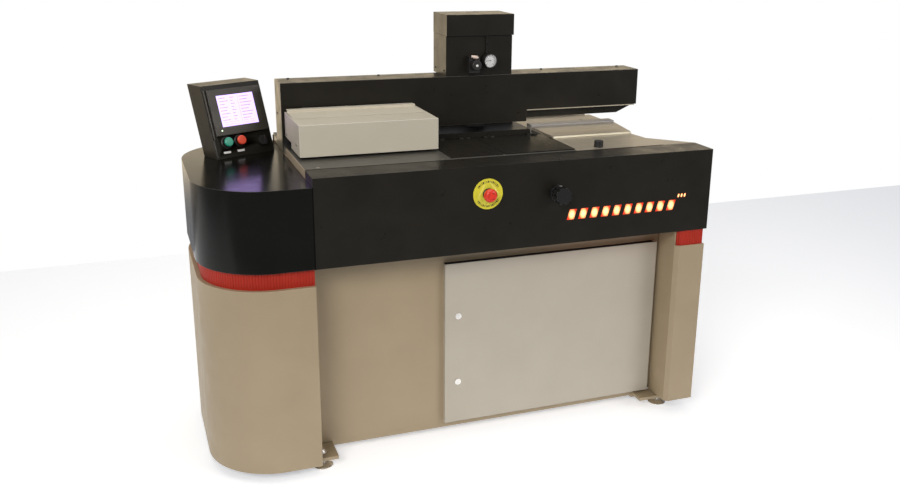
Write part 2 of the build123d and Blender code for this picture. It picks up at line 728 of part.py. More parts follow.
def front_fascia():
    span = (FASCIA_BOTTOM, TABLE_TOP)
    length = (0, FASCIA_LENGTH)
    fascia = block(length, (0, SHEET), span)
    fascia += block(length, (0, LIP_DEPTH), (TABLE_TOP - SHEET, TABLE_TOP))
    fascia += block(length, (0, FLANGE_WIDTH), (FASCIA_BOTTOM, FASCIA_BOTTOM + SHEET))
    fascia += block(length, (LIP_DEPTH - SHEET, LIP_DEPTH), (BED_BOTTOM, TABLE_TOP))
    for end in ((0, SHEET), (FASCIA_LENGTH - SHEET, FASCIA_LENGTH)):
        fascia += block(end, (0, LIP_DEPTH), span)
    slanted_end = [
        (FASCIA_LENGTH - 2 * SHEET, LIP_DEPTH),
        (FASCIA_LENGTH, LIP_DEPTH),
        (BODY_RIGHT, TABLE_CORNER[1]),
        (BODY_RIGHT, COLUMN_REAR),
    ]
    fascia += prism(slanted_end, (FASCIA_BOTTOM, BED_TOP))
    for slot in light_slots():
        fascia -= slot
    fascia -= rod_y(STOP_BORE_RADIUS, STOP_X, (0, SHEET), STOP_Z)
    return fascia - rod_y(SPINDLE_RADIUS + RUNNING_GAP, ADJUST_X, (0, SHEET), ADJUST_Z)


def stop_station():
    """Round backing plate and the body that clamps it to the fascia."""
    plate = rod_y(STOP_RING_RADIUS, STOP_X, (-STOP_RING, 0), STOP_Z)
    plate -= rod_y(STOP_BORE_RADIUS, STOP_X, (-STOP_RING, 0), STOP_Z)
    body = rod_y(STOP_BORE_RADIUS, STOP_X, (-STOP_RING, STOP_BODY_DEPTH), STOP_Z)
    body += rod_y(STOP_COLLAR_RADIUS, STOP_X, (-STOP_RING - STOP_COLLAR, -STOP_RING), STOP_Z)
    body += rod_y(STOP_COLLAR_RADIUS, STOP_X, (SHEET, STOP_BODY_DEPTH), STOP_Z)
    bore = (-STOP_RING - STOP_COLLAR, STOP_BODY_DEPTH / 2)
    body -= rod_y(STOP_STEM_RADIUS + RUNNING_GAP, STOP_X, bore, STOP_Z)
    return group([plate, body])


def stop_head_y():
    """Rear and front of the red head, held clear of its collar by the travel."""
    rear = -STOP_RING - STOP_COLLAR - STOP_TRAVEL - CAM_CLEARANCE
    return (rear - STOP_HEAD, rear)


def stop_plunger():
    rear = stop_head_y()[1]
    plunger = rod_y(STOP_STEM_RADIUS, STOP_X, (rear - COVER_SEAT, STOP_COLLAR), STOP_Z)
    bore = rod_y(STOP_SPINDLE_RADIUS + RUNNING_GAP, STOP_X, (rear - COVER_SEAT, rear + STOP_SPINDLE_REACH), STOP_Z)
    return plunger - bore


def stop_head():
    front, rear = stop_head_y()
    rim = rear - STOP_HEAD / 2
    head = rod_y(STOP_HEAD_RADIUS, STOP_X, (rim, rear - 2 * COVER_SEAT), STOP_Z)
    cone = Cone(STOP_HEAD_RADIUS, STOP_COLLAR_RADIUS, rim - front)
    head += Pos(STOP_X, (front + rim) / 2, STOP_Z) * Rot(90, 0, 0) * cone
    return head + rod_y(STOP_SPINDLE_RADIUS, STOP_X, (rim, rear + STOP_SPINDLE_REACH - COVER_SEAT), STOP_Z)


def adjusting_knob():
    """Hub, neck and lobed grip on a spindle that reaches the roller drive."""
    hub = (-ADJUST_HUB, -COVER_SEAT)
    knob = rod_y(ADJUST_HUB_RADIUS, ADJUST_X, hub, ADJUST_Z)
    knob += rod_y(ADJUST_NECK_RADIUS, ADJUST_X, (-ADJUST_PROUD / 2, -ADJUST_HUB), ADJUST_Z)
    grip = rod_y(ADJUST_GRIP_RADIUS, ADJUST_X, (-ADJUST_PROUD, -ADJUST_PROUD / 2), ADJUST_Z)
    for index in range(ADJUST_LOBES):
        angle = 2 * pi * index / ADJUST_LOBES
        x = ADJUST_X + (ADJUST_GRIP_RADIUS + ADJUST_LOBE_RADIUS / 3) * cos(angle)
        z = ADJUST_Z + (ADJUST_GRIP_RADIUS + ADJUST_LOBE_RADIUS / 3) * sin(angle)
        grip -= rod_y(ADJUST_LOBE_RADIUS, x, (-ADJUST_PROUD, -ADJUST_PROUD / 2), z)
    knob += grip
    return knob + rod_y(SPINDLE_RADIUS, ADJUST_X, (-ADJUST_HUB, ROLLER_SHAFT_FRONT + SPINDLE_RADIUS), ADJUST_Z)


# Bed and table sheets
def cover_window(cover_x):
    return (cover_x[0] + COVER_LEDGE, cover_x[1] - COVER_LEDGE)


def bed_plate():
    level = (BED_BOTTOM, BED_TOP)
    bed = block((SHEET, INNER_RIGHT), (LIP_DEPTH, INNER_REAR), level)
    for cover_x in (MILLING_X, GLUE_X):
        bed -= block(cover_window(cover_x), (BED_WINDOW_FRONT, TOOL_SLOT_Y[1]), level)
    bed -= block(NIP_WINDOW_X, NIP_WINDOW_Y, level)
    bed -= nip_lug_slot(level)
    bed -= rod_z(DRIVE_SHAFT_RADIUS + SHAFT_CLEARANCE, PULLEY_X[0], PULLEY_Y, level)
    return bed - rod_z(KNOB_SHAFT_RADIUS + RUNNING_GAP, *KNOB_PLACE, level)


def infeed_table():
    level = (BED_TOP, TABLE_TOP)
    table = block((SHEET, SPLIT_X), (LIP_DEPTH, BODY_DEPTH), level)
    for cover_x in (MILLING_X, GLUE_X):
        window = cover_window(cover_x)
        table -= block(window, (COVER_OPEN_FRONT, COVER_REAR), level)
        table -= block(window, TOOL_SLOT_Y, level)
    return table - rod_z(DRIVE_SHAFT_RADIUS + SHAFT_CLEARANCE, PULLEY_X[0], PULLEY_Y, level)


def nip_lug_slot(level):
    lug_y = (NIP_LUG_Y[0] - NIP_TRAVEL - SLOT_CLEARANCE, NIP_LUG_Y[1] + SLOT_CLEARANCE / 2)
    return block(around(NIP_LUG_X, NIP_LUG_WIDTH + 2 * SLOT_CLEARANCE), lug_y, level)


def delivery_table():
    level = (BED_TOP, TABLE_TOP)
    points = [
        (SPLIT_X, LIP_DEPTH),
        (FASCIA_LENGTH, LIP_DEPTH),
        TABLE_CORNER,
        (NIP_FRONT_RIGHT, NIP_FRONT),
        (NIP_BAR_RIGHT, NIP_BAR_FRONT),
        (NIP_BAR_RIGHT, BODY_DEPTH),
        (SPLIT_X, BODY_DEPTH),
    ]
    table = prism(points, level) - block(NIP_WINDOW_X, NIP_WINDOW_Y, level)
    table -= nip_lug_slot(level)
    length, width = REAR_SLOT_SIZE
    table -= block(around(REAR_SLOT[0], length), around(REAR_SLOT[1], width), level)
    return table - rod_z(KNOB_SHAFT_RADIUS + RUNNING_GAP, *KNOB_PLACE, level)


def table_knob():
    x, y = KNOB_PLACE
    bottom = TABLE_TOP + COVER_SEAT
    knob = rod_z(KNOB_RADIUS, x, y, (bottom, bottom + KNOB_HEIGHT))
    knob = chamfer(knob.edges().group_by(Axis.Z)[-1], COVER_THICKNESS / 2)
    return knob + rod_z(KNOB_SHAFT_RADIUS, x, y, (bottom - KNOB_SHAFT_DEPTH, bottom))


# Guide bar with the two hinged covers
def hinge_places(cover_x):
    return (cover_x[0] + HINGE_INSET, cover_x[1] - HINGE_INSET)


def guide_bar():
    bar_y = (GUIDE_BAR_Y, GUIDE_BAR_Y + GUIDE_BAR_THICKNESS)
    bar = block(GUIDE_BAR_X, bar_y, (TABLE_TOP, TABLE_TOP + GUIDE_BAR_HEIGHT))
    reach = HINGE_LUG_WIDTH / 2 + HINGE_BARREL_LENGTH
    for cover_x in (MILLING_X, GLUE_X):
        for x in hinge_places(cover_x):
            lug_z = (TABLE_TOP + COVER_SEAT, HINGE_Z + HINGE_BARREL_RADIUS)
            lug_y = (HINGE_Y - HINGE_BARREL_RADIUS, GUIDE_BAR_Y)
            bar += block(around(x, HINGE_LUG_WIDTH), lug_y, lug_z)
            bar += rod_x(HINGE_PIN_RADIUS, around(x, 2 * reach), HINGE_Y, HINGE_Z)
    return bar


def station_cover(cover_x, notched_end):
    """Flat lid plate with four hinge barrels and a finger notch."""
    cover = block(cover_x, (COVER_FRONT, COVER_REAR), COVER_Z)
    notch_x = around(notched_end, FINGER_NOTCH)
    cover -= block(notch_x, (COVER_FRONT, COVER_FRONT + FINGER_NOTCH), COVER_Z)
    for x in hinge_places(cover_x):
        lug = around(x, HINGE_LUG_WIDTH + 2 * HINGE_GAP)
        recess_y = (HINGE_Y - 2 * HINGE_BARREL_RADIUS, COVER_REAR)
        cover -= block(lug, recess_y, COVER_Z)
        for side in (-1, 1):
            near = HINGE_LUG_WIDTH / 2 + HINGE_GAP
            barrel = sorted((x + side * near, x + side * (near + HINGE_BARREL_LENGTH)))
            cover += block(barrel, (recess_y[0], HINGE_Y), (COVER_Z[0], HINGE_Z))
            cover += rod_x(HINGE_BARREL_RADIUS, barrel, HINGE_Y, HINGE_Z)
            cover -= rod_x(HINGE_PIN_RADIUS + RUNNING_GAP, barrel, HINGE_Y, HINGE_Z)
    return cover


# Nipping station
def nip_plate():
    """Front nip plate with its lug and the rod of its cylinder."""
    slope = (NIP_BAR_RIGHT - NIP_FRONT_RIGHT) / (NIP_BAR_FRONT - NIP_FRONT)
    right = NIP_FRONT_RIGHT + slope * (NIP_REAR - NIP_FRONT)
    points = [(NIP_LEFT, NIP_FRONT), (NIP_FRONT_RIGHT, NIP_FRONT), (right, NIP_REAR), (NIP_LEFT, NIP_REAR)]
    plate = prism(points, NIP_PLATE_Z)
    front_edge = plate.edges().group_by(Axis.Z)[-1].sort_by(Axis.Y)[0]
    plate = chamfer(front_edge, NIP_CHAMFER)
    for x, y in NIP_SCREWS:
        plate -= rod_z(SCREW_RADIUS, x, y, (NIP_PLATE_Z[1] - SCREW_DEPTH, NIP_PLATE_Z[1]))
    plate += block(around(NIP_LUG_X, NIP_LUG_WIDTH), NIP_LUG_Y, (NIP_LUG_LOW, NIP_PLATE_Z[0]))
    return plate + rod_y(NIP_ROD_RADIUS, NIP_LUG_X, (NIP_LUG_Y[1], NIP_ROD_END), NIP_AXIS_Z)


def rear_nip_bar():
    bar_y = (NIP_BAR_FRONT, NIP_BAR_FRONT + NIP_BAR_DEPTH)
    bar = block((NIP_LEFT, NIP_BAR_RIGHT), bar_y, (TABLE_TOP, TABLE_TOP + NIP_BAR_HEIGHT))
    upper_front = bar.edges().group_by(Axis.Z)[-1].sort_by(Axis.Y)[0]
    return chamfer(upper_front, NIP_CHAMFER / 2)


def nip_base():
    window_x = (NIP_WINDOW_X[0] + NIP_BASE_MARGIN, NIP_WINDOW_X[1] - NIP_BASE_MARGIN)
    window_y = (NIP_WINDOW_Y[0] + NIP_BASE_MARGIN, NIP_WINDOW_Y[1] - NIP_BASE_MARGIN)
    top = TABLE_TOP - NIP_BASE_DROP
    base = block(window_x, window_y, (top - NIP_BASE_THICKNESS, top))
    for x in NIP_POST_X:
        post_z = (top - NIP_BASE_THICKNESS - NIP_POST_LENGTH, top - NIP_BASE_THICKNESS)
        base += rod_z(NIP_POST_RADIUS, x, sum(NIP_WINDOW_Y) / 2, post_z)
    return base


def nip_cylinders():
    """Slide cylinder of the nip plate and the two lift guides of the base."""
    cylinder_z = (NIP_AXIS_Z - NIP_CYLINDER_WIDTH / 2, BED_BOTTOM)
    cylinder = block(around(NIP_LUG_X, NIP_CYLINDER_WIDTH), NIP_CYLINDER_Y, cylinder_z)
    cylinder -= rod_y(NIP_ROD_RADIUS + RUNNING_GAP, NIP_LUG_X, NIP_CYLINDER_Y, NIP_AXIS_Z)
    pieces = [cylinder]
    guide_z = (BED_BOTTOM - NIP_GUIDE_HEIGHT, BED_BOTTOM)
    for x in NIP_POST_X:
        guide = block(around(x, NIP_GUIDE_WIDTH), NIP_GUIDE_Y, guide_z)
        guide -= rod_z(NIP_POST_RADIUS + RUNNING_GAP, x, sum(NIP_WINDOW_Y) / 2, guide_z)
        pieces.append(guide)
    return group(pieces)


# Milling head
def milling_motor():
    motor = rod_z(MILL_MOTOR_RADIUS, MILL_X, MILL_Y, MILL_MOTOR_Z)
    flange_z = (BED_BOTTOM - MILL_FLANGE, BED_BOTTOM)
    motor += block(MILL_FLANGE_X, MILL_FLANGE_Y, flange_z)
    bore = (BED_BOTTOM - ARBOR_LENGTH, BED_BOTTOM)
    return motor - rod_z(ARBOR_RADIUS + RUNNING_GAP, MILL_X, MILL_Y, bore)


def milling_cutter():
    cutter = rod_z(CUTTER_RADIUS, MILL_X, MILL_Y, (SPINE_Z - CUTTER_HEIGHT, SPINE_Z))
    for index in range(CUTTER_TEETH):
        angle = 2 * pi * index / CUTTER_TEETH
        x = MILL_X + CUTTER_RADIUS * cos(angle)
        y = MILL_Y + CUTTER_RADIUS * sin(angle)
        cutter -= rod_z(CUTTER_NOTCH_RADIUS, x, y, (SPINE_Z - CUTTER_HEIGHT, SPINE_Z))
    arbor = (BED_BOTTOM - ARBOR_LENGTH + COVER_SEAT, SPINE_Z - CUTTER_HEIGHT)
    return cutter + rod_z(ARBOR_RADIUS, MILL_X, MILL_Y, arbor)


# Glue station
def glue_tank():
    tank = block(TANK_X, TANK_Y, TANK_Z)
    inner_x = (TANK_X[0] + TANK_WALL, TANK_X[1] - TANK_WALL)
    inner_y = (TANK_Y[0] + TANK_WALL, TANK_Y[1] - TANK_WALL)
    flange_x = (TANK_X[0] - TANK_FLANGE, TANK_X[1] + TANK_FLANGE)
    tank += block(flange_x, TANK_Y, (BED_BOTTOM - TANK_FLANGE_HEIGHT, BED_BOTTOM))
    tank -= block(inner_x, inner_y, (TANK_Z[0] + TANK_WALL, TANK_Z[1]))
    for x in ROLLER_X:
        tank -= rod_y(ROLLER_SHAFT_RADIUS + RUNNING_GAP, x, TANK_Y, ROLLER_Z)
    return tank - rod_y(BLADE_SHAFT_RADIUS + RUNNING_GAP, BLADE_SHAFT_X, TANK_Y, BLADE_SHAFT_Z)


def glue_roller(x):
    roller = rod_y(ROLLER_RADIUS, x, ROLLER_Y, ROLLER_Z)
    shaft = (ROLLER_SHAFT_FRONT, TANK_Y[1] - TANK_WALL / 4)
    return roller + rod_y(ROLLER_SHAFT_RADIUS, x, shaft, ROLLER_Z)


def doctor_blade():
    shaft = (ROLLER_SHAFT_FRONT, TANK_Y[1] - TANK_WALL / 4)
    blade = rod_y(BLADE_SHAFT_RADIUS, BLADE_SHAFT_X, shaft, BLADE_SHAFT_Z)
    tip = BLADE_SHAFT_X - BLADE_SHAFT_RADIUS / 2
    blade_x = (tip - BLADE_REACH, tip)
    return blade + block(blade_x, ROLLER_Y, around(BLADE_SHAFT_Z, BLADE_THICKNESS))


def roller_drive():
    """Gear case in front of the tank with its motor below."""
    drive = block(DRIVE_X, DRIVE_Y, DRIVE_Z)
    bore = (ROLLER_SHAFT_FRONT - PIVOT_GAP, DRIVE_Y[1])
    for x in ROLLER_X:
        drive -= rod_y(ROLLER_SHAFT_RADIUS + RUNNING_GAP, x, bore, ROLLER_Z)
    drive -= rod_y(BLADE_SHAFT_RADIUS + RUNNING_GAP, BLADE_SHAFT_X, bore, BLADE_SHAFT_Z)
    spindle_bore = (DRIVE_Y[0], ROLLER_SHAFT_FRONT + SPINDLE_RADIUS + PIVOT_GAP)
    drive -= rod_y(SPINDLE_RADIUS + RUNNING_GAP, ADJUST_X, spindle_bore, ADJUST_Z)
    motor_z = (DRIVE_Z[0] - DRIVE_MOTOR_LENGTH, DRIVE_Z[0])
    return drive + rod_z(DRIVE_MOTOR_RADIUS, DRIVE_MOTOR_X, sum(DRIVE_Y) / 2, motor_z)


# Beam with its rail and belt drive
def beam_frame():
    frame = block(CORE_X, CORE_Y, CORE_Z)
    rail_z = (CORE_Z[0] - GUIDE_RAIL_HEIGHT, CORE_Z[0])
    frame += block(RAIL_X, around(sum(CORE_Y) / 2, RAIL_WIDTH), rail_z)
    post_y = (CORE_Y[1], CORE_Y[1] + POST_DEPTH)
    for left in POST_X:
        frame += block((left, left + POST_WIDTH), post_y, (TABLE_TOP, POST_TOP))
    for middle in PAD_X:
        frame += block(around(middle, PAD_LENGTH), CORE_Y, (CORE_Z[1], BEAM_TOP - SHEET))
    bracket_low = PULLEY_Z[1] + IDLER_PIN_RISE
    bracket_z = (bracket_low, bracket_low + IDLER_BRACKET)
    bracket_y = (PULLEY_Y - IDLER_PIN_RADIUS * 2, CORE_Y[0])
    frame += block(around(PULLEY_X[1], 2 * IDLER_BRACKET), bracket_y, bracket_z)
    return frame + rod_z(IDLER_PIN_RADIUS, PULLEY_X[1], PULLEY_Y, (PULLEY_Z[0], bracket_low))


def beam_cover():
    length = (0, BEAM_LENGTH)
    front_y, rear_y = BEAM_Y
    front = (front_y, front_y + SHEET)
    cover = block(length, BEAM_Y, (BEAM_TOP - SHEET, BEAM_TOP))
    cover += block(length, front, (BEAM_BOTTOM, BEAM_TOP))
    cover += block((0, SKIRT_END), front, (SKIRT_BOTTOM, BEAM_TOP))
    cover += block(length, (rear_y - SHEET, rear_y), (BEAM_REAR_BOTTOM, BEAM_TOP))
    cover += block((0, SHEET), BEAM_Y, (HOUSING_TOP, BEAM_TOP))
    cover += block((BEAM_LENGTH - SHEET, BEAM_LENGTH), BEAM_Y, (BEAM_BOTTOM, BEAM_TOP))
    cover += block((SKIRT_END, BEAM_LENGTH), (front_y, GUARD_Y + SHEET), (BEAM_BOTTOM, BEAM_BOTTOM + SHEET))
    corner_x, low_x = GUARD_CHAMFER
    points = [
        (SKIRT_END, BEAM_BOTTOM + SHEET),
        (corner_x, BEAM_BOTTOM + SHEET),
        (corner_x, GUARD_CHAMFER_Z),
        (low_x, GUARD_BOTTOM),
        (SKIRT_END, GUARD_BOTTOM),
    ]
    guard = extrude(make_face(Polyline(*points, close=True)), SHEET)
    cover += Rot(90, 0, 0) * Pos(0, 0, -GUARD_Y - SHEET) * guard
    for left in POST_X:
        notch_x = (left - POST_NOTCH, left + POST_WIDTH + POST_NOTCH)
        cover -= block(notch_x, (rear_y - SHEET, rear_y), (BEAM_REAR_BOTTOM, POST_TOP + POST_NOTCH))
    slot_y, slot_z = END_SLOT_PLACE
    length_y, height_z = END_SLOT_SIZE
    return cover - block((0, SHEET), around(slot_y, length_y), around(slot_z, height_z))


def drive_pulley():
    pulley = rod_z(PULLEY_RADIUS, PULLEY_X[0], PULLEY_Y, PULLEY_Z)
    shaft = (BED_BOTTOM - ARBOR_LENGTH, PULLEY_Z[0])
    return pulley + rod_z(DRIVE_SHAFT_RADIUS, PULLEY_X[0], PULLEY_Y, shaft)


def idler_pulley():
    pulley = rod_z(PULLEY_RADIUS, PULLEY_X[1], PULLEY_Y, PULLEY_Z)
    return pulley - rod_z(IDLER_PIN_RADIUS + RUNNING_GAP, PULLEY_X[1], PULLEY_Y, PULLEY_Z)


def belt_loop(radius):
    loop = block(PULLEY_X, around(PULLEY_Y, 2 * radius), BELT_Z)
    for x in PULLEY_X:
        loop += rod_z(radius, x, PULLEY_Y, BELT_Z)
    return loop


def drive_belt():
    return belt_loop(BELT_RADIUS) - belt_loop(BELT_RADIUS - BELT_THICKNESS)


def belt_motor():
    motor = rod_z(BELT_MOTOR_RADIUS, PULLEY_X[0], PULLEY_Y, (BED_BOTTOM - BELT_MOTOR_LENGTH, BED_BOTTOM))
    bore = (BED_BOTTOM - ARBOR_LENGTH - PIVOT_GAP, BED_BOTTOM)
    return motor - rod_z(DRIVE_SHAFT_RADIUS + RUNNING_GAP, PULLEY_X[0], PULLEY_Y, bore)


# Clamp carriage
def clamp_rod_places():
    middle = sum(JAW_X) / 2
    offsets = [index - (CYLINDER_COUNT - 1) / 2 for index in range(CYLINDER_COUNT)]
    return [middle + offset_steps * CYLINDER_PITCH for offset_steps in offsets]


def carriage_frame():
    """Foot plate under the beam, rail blocks on it and the plates of the clamp."""
    left, right = JAW_X[0] - JAW_SIDE_GAP / 2, JAW_X[1] + JAW_SIDE_GAP / 2
    side_xs = ((left - SIDE_PLATE, left), (right, right + SIDE_PLATE))
    plate_top = HOOD_Z[1] - HOOD_WALL
    plate_z = (SIDE_PLATE_LOW, plate_top)
    frame = block((left, right), (FRAME_FRONT, FRAME_FRONT + FRONT_PLATE), plate_z)
    for side_x in side_xs:
        frame += block(side_x, (FRAME_FRONT, HOOD_Y[1]), plate_z)
        frame += block(side_x, (HOOD_Y[1] - FRONT_JAW, HOOD_Y[1]), (FOOT_PLATE_Z[0], plate_top))
    foot_right = right + SIDE_PLATE
    frame += block((side_xs[0][0], foot_right), (HOOD_Y[1], FOOT_STRIP_REAR), FOOT_PLATE_Z)
    frame += block((SHAFT_NOTCH_X, foot_right), (HOOD_Y[1], FOOT_PLATE_REAR), FOOT_PLATE_Z)
    web_top = CORE_Z[0] - GUIDE_RAIL_HEIGHT - SLIDING_GAP
    groove = around(sum(CORE_Y) / 2, RAIL_WIDTH + 2 * SLIDING_GAP)
    for start in BLOCK_X:
        block_x = (start, start + BLOCK_LENGTH)
        frame += block(block_x, (BLOCK_Y[0], FOOT_PLATE_REAR), (FOOT_PLATE_Z[1], BLOCK_TOP))
        frame -= block(block_x, groove, (web_top, BLOCK_TOP))
    arm_z = (FOOT_PLATE_Z[1], BELT_ARM_TOP)
    return frame + block(BELT_ARM_X, (BELT_ARM_FRONT, CORE_Y[0] + RAIL_WIDTH / 4), arm_z)


def clamp_cylinders():
    rear = FRAME_FRONT + FRONT_PLATE + CYLINDER_LENGTH
    pieces = []
    for x in clamp_rod_places():
        body_y = (FRAME_FRONT + FRONT_PLATE, rear)
        body = block(around(x, CYLINDER_WIDTH), body_y, around(CLAMP_AXIS_Z, CYLINDER_WIDTH))
        pieces.append(body - rod_y(CLAMP_ROD_RADIUS + RUNNING_GAP, x, (body_y[0] + CAM_CLEARANCE, rear), CLAMP_AXIS_Z))
    return group(pieces)


def front_jaw():
    """Moving jaw with its throat shield and the three cylinder rods."""
    jaw_x = (JAW_X[0] + JAW_SIDE_GAP, JAW_X[1] - JAW_SIDE_GAP)
    jaw = block(jaw_x, FRONT_JAW_Y, (JAW_BOTTOM, JAW_TOP))
    shield_low = HOOD_Z[1] + SHIELD_RISE
    jaw += block(jaw_x, (SHIELD_FRONT, FRONT_JAW_Y[0]), (shield_low, shield_low + SHIELD_SHEET))
    for x in clamp_rod_places():
        jaw += rod_y(CLAMP_ROD_RADIUS, x, (CLAMP_ROD_START, FRONT_JAW_Y[0]), CLAMP_AXIS_Z)
    return jaw


def rear_jaw():
    return block(JAW_X, (REAR_JAW_FRONT, HOOD_Y[1]), (JAW_BOTTOM, JAW_TOP))


def carriage_hood():
    hood = block(HOOD_X, HOOD_Y, HOOD_Z)
    inner_x = (HOOD_X[0] + HOOD_WALL, HOOD_X[1] - HOOD_WALL)
    hood -= block(inner_x, (HOOD_Y[0] + HOOD_WALL, HOOD_Y[1]), (HOOD_Z[0], HOOD_Z[1] - HOOD_WALL))
    hood -= block(HOOD_X, (HOOD_NOTCH_Y, HOOD_Y[1]), (HOOD_Z[0], HOOD_NOTCH_TOP))
    return hood - block(THROAT_X, (THROAT_FRONT, HOOD_Y[1]), (HOOD_Z[1] - HOOD_WALL, HOOD_Z[1]))


# Tower with its valves, regulator and gauge
def lid_lugs():
    return [around(x, HINGE_LUG_WIDTH) for x in LID_LUG_X]


def tower_body():
    """Open box with a hinge lug and pin behind each end of its rim."""
    span = (BEAM_TOP, TOWER_JOINT)
    inner_x = (TOWER_X[0] + TOWER_WALL, TOWER_X[1] - TOWER_WALL)
    inner_y = (TOWER_Y[0] + TOWER_WALL, TOWER_Y[1] - TOWER_WALL)
    body = block(TOWER_X, TOWER_Y, span) - block(inner_x, inner_y, (span[0] + TOWER_WALL, span[1]))
    for lug_x in lid_lugs():
        lug_z = (LID_HINGE_Z - 4 * HINGE_BARREL_RADIUS, LID_HINGE_Z)
        arm = block(lug_x, (TOWER_Y[1], LID_HINGE_Y), (lug_z[0], LID_HINGE_Z - HINGE_BARREL_RADIUS))
        arm += block(lug_x, around(LID_HINGE_Y, 2 * HINGE_PIN_RADIUS), lug_z)
        pin_x = (lug_x[0], lug_x[1] + HINGE_BARREL_LENGTH)
        body += arm + rod_x(HINGE_PIN_RADIUS, pin_x, LID_HINGE_Y, LID_HINGE_Z)
    return body


def tower_lid():
    """Deep lid that turns on the two pins behind the tower."""
    lid = block(LID_X, (LID_FRONT, TOWER_Y[1]), (LID_HINGE_Z, LID_TOP))
    inner_x = (LID_X[0] + TOWER_WALL, LID_X[1] - TOWER_WALL)
    inner_y = (LID_FRONT + TOWER_WALL, TOWER_Y[1] - TOWER_WALL)
    lid -= block(inner_x, inner_y, (LID_HINGE_Z, LID_TOP - TOWER_WALL))
    for lug_x in lid_lugs():
        barrel = (lug_x[1] + HINGE_GAP, lug_x[1] + HINGE_BARREL_LENGTH)
        leaf_z = (LID_HINGE_Z, LID_HINGE_Z + 3 * HINGE_BARREL_RADIUS)
        lid += block(barrel, (TOWER_Y[1], LID_HINGE_Y), leaf_z)
        lid += rod_x(HINGE_BARREL_RADIUS, barrel, LID_HINGE_Y, LID_HINGE_Z)
        lid -= rod_x(HINGE_PIN_RADIUS + RUNNING_GAP, barrel, LID_HINGE_Y, LID_HINGE_Z)
    return lid


def valve_block():
    low = BEAM_TOP + TOWER_WALL
    valves = block(VALVE_X, VALVE_Y, (low, low + VALVE_BASE))
    for index in range(VALVE_COUNT):
        x = sum(VALVE_X) / 2 + (index - (VALVE_COUNT - 1) / 2) * VALVE_PITCH
        valve_z = (low + VALVE_BASE, low + VALVE_BASE + VALVE_HEIGHT)
        valve_y = (VALVE_Y[0] + VALVE_WIDTH / 2, VALVE_Y[1])
        valves += block(around(x, VALVE_WIDTH), valve_y, valve_z)
    return valves


def regulator_body():
    body_y = (TOWER_Y[0] - REGULATOR_DEPTH, TOWER_Y[0])
    body = block(around(REGULATOR_X, REGULATOR_WIDTH), body_y, around(REGULATOR_Z, REGULATOR_HEIGHT))
    bore = (body_y[0], body_y[0] + REGULATOR_STEM + PIVOT_GAP)
    return body - rod_y(REGULATOR_STEM_RADIUS + RUNNING_GAP, REGULATOR_X, bore, REGULATOR_Z)


def regulator_knob():
    rear = TOWER_Y[0] - REGULATOR_DEPTH - COVER_SEAT
    knob = rod_y(REGULATOR_KNOB_RADIUS, REGULATOR_X, (rear - REGULATOR_KNOB, rear), REGULATOR_Z)
    knob = chamfer(knob.edges().sort_by(Axis.Y)[0], NIP_CHAMFER)
    return knob + rod_y(REGULATOR_STEM_RADIUS, REGULATOR_X, (rear, rear + REGULATOR_STEM), REGULATOR_Z)


def gauge_case():
    case_y = (GAUGE_FRONT, GAUGE_FRONT + GAUGE_CASE)
    case = rod_y(GAUGE_RADIUS, GAUGE_X, case_y, GAUGE_Z)
    case -= rod_y(GAUGE_RADIUS - GAUGE_RIM, GAUGE_X, (case_y[0], case_y[0] + GAUGE_RECESS), GAUGE_Z)
    case += rod_y(GAUGE_STUB_RADIUS, GAUGE_X, (case_y[1], TOWER_Y[0]), GAUGE_Z)
    dial = GAUGE_FRONT + GAUGE_RECESS
    return case - rod_y(NEEDLE_PIN_RADIUS + RUNNING_GAP, GAUGE_X, (dial, dial + NEEDLE_PIN), GAUGE_Z)


def gauge_needle():
    """Pointer that lies level to the left, on a pin in the dial."""
    dial = GAUGE_FRONT + GAUGE_RECESS
    needle_y = (dial - 2 * NEEDLE_THICKNESS, dial - NEEDLE_THICKNESS)
    reach = (GAUGE_X - NEEDLE_LENGTH, GAUGE_X + NEEDLE_TAIL)
    needle = block(reach, needle_y, around(GAUGE_Z, NEEDLE_WIDTH))
    needle += rod_y(NEEDLE_WIDTH, GAUGE_X, needle_y, GAUGE_Z)
    pin = (needle_y[0], dial + NEEDLE_PIN - NEEDLE_THICKNESS)
    return needle + rod_y(NEEDLE_PIN_RADIUS, GAUGE_X, pin, GAUGE_Z)


# Console: pieces on its sloping face are made flat and turned with it
def on_face(piece):
    return FACE * piece


def console_shell(wall):
    """Leaning body of the console, or its hollow when a wall is taken off."""
    points = [
        (wall, 0),
        (CONSOLE_DEPTH - wall, 0),
        (CONSOLE_DEPTH - wall + CONSOLE_SETBACK, CONSOLE_HEIGHT),
        (wall + CONSOLE_SETBACK, CONSOLE_HEIGHT),
    ]
    side = make_face(Polyline(*points, close=True))
    width = CONSOLE_WIDTH - 2 * wall
    body = Pos(wall, 0, 0) * extrude(Plane.YZ * side, width)
    if wall:
        body -= block((0, CONSOLE_WIDTH), (0, 2 * CONSOLE_HEIGHT), (CONSOLE_HEIGHT - wall, CONSOLE_HEIGHT))
    return BASE * body


def face_post(radius, u, v, w):
    return on_face(rod_z(radius, u, v, w))


def button_collars():
    """Fixed collars with their threaded bodies behind the face."""
    collars = []
    for u in BUTTON_U:
        collar = rod_z(COLLAR_RADIUS, u, BUTTON_V, (0, COLLAR_PROUD))
        collar += rod_z(CAP_RADIUS - CAM_CLEARANCE, u, BUTTON_V, (-BUTTON_STEM - COLLAR_PROUD, 0))
        bore = (-BUTTON_STEM - COLLAR_PROUD, COLLAR_PROUD)
        collars.append(on_face(collar - rod_z(BUTTON_STEM_RADIUS + RUNNING_GAP, u, BUTTON_V, bore)))
    return collars


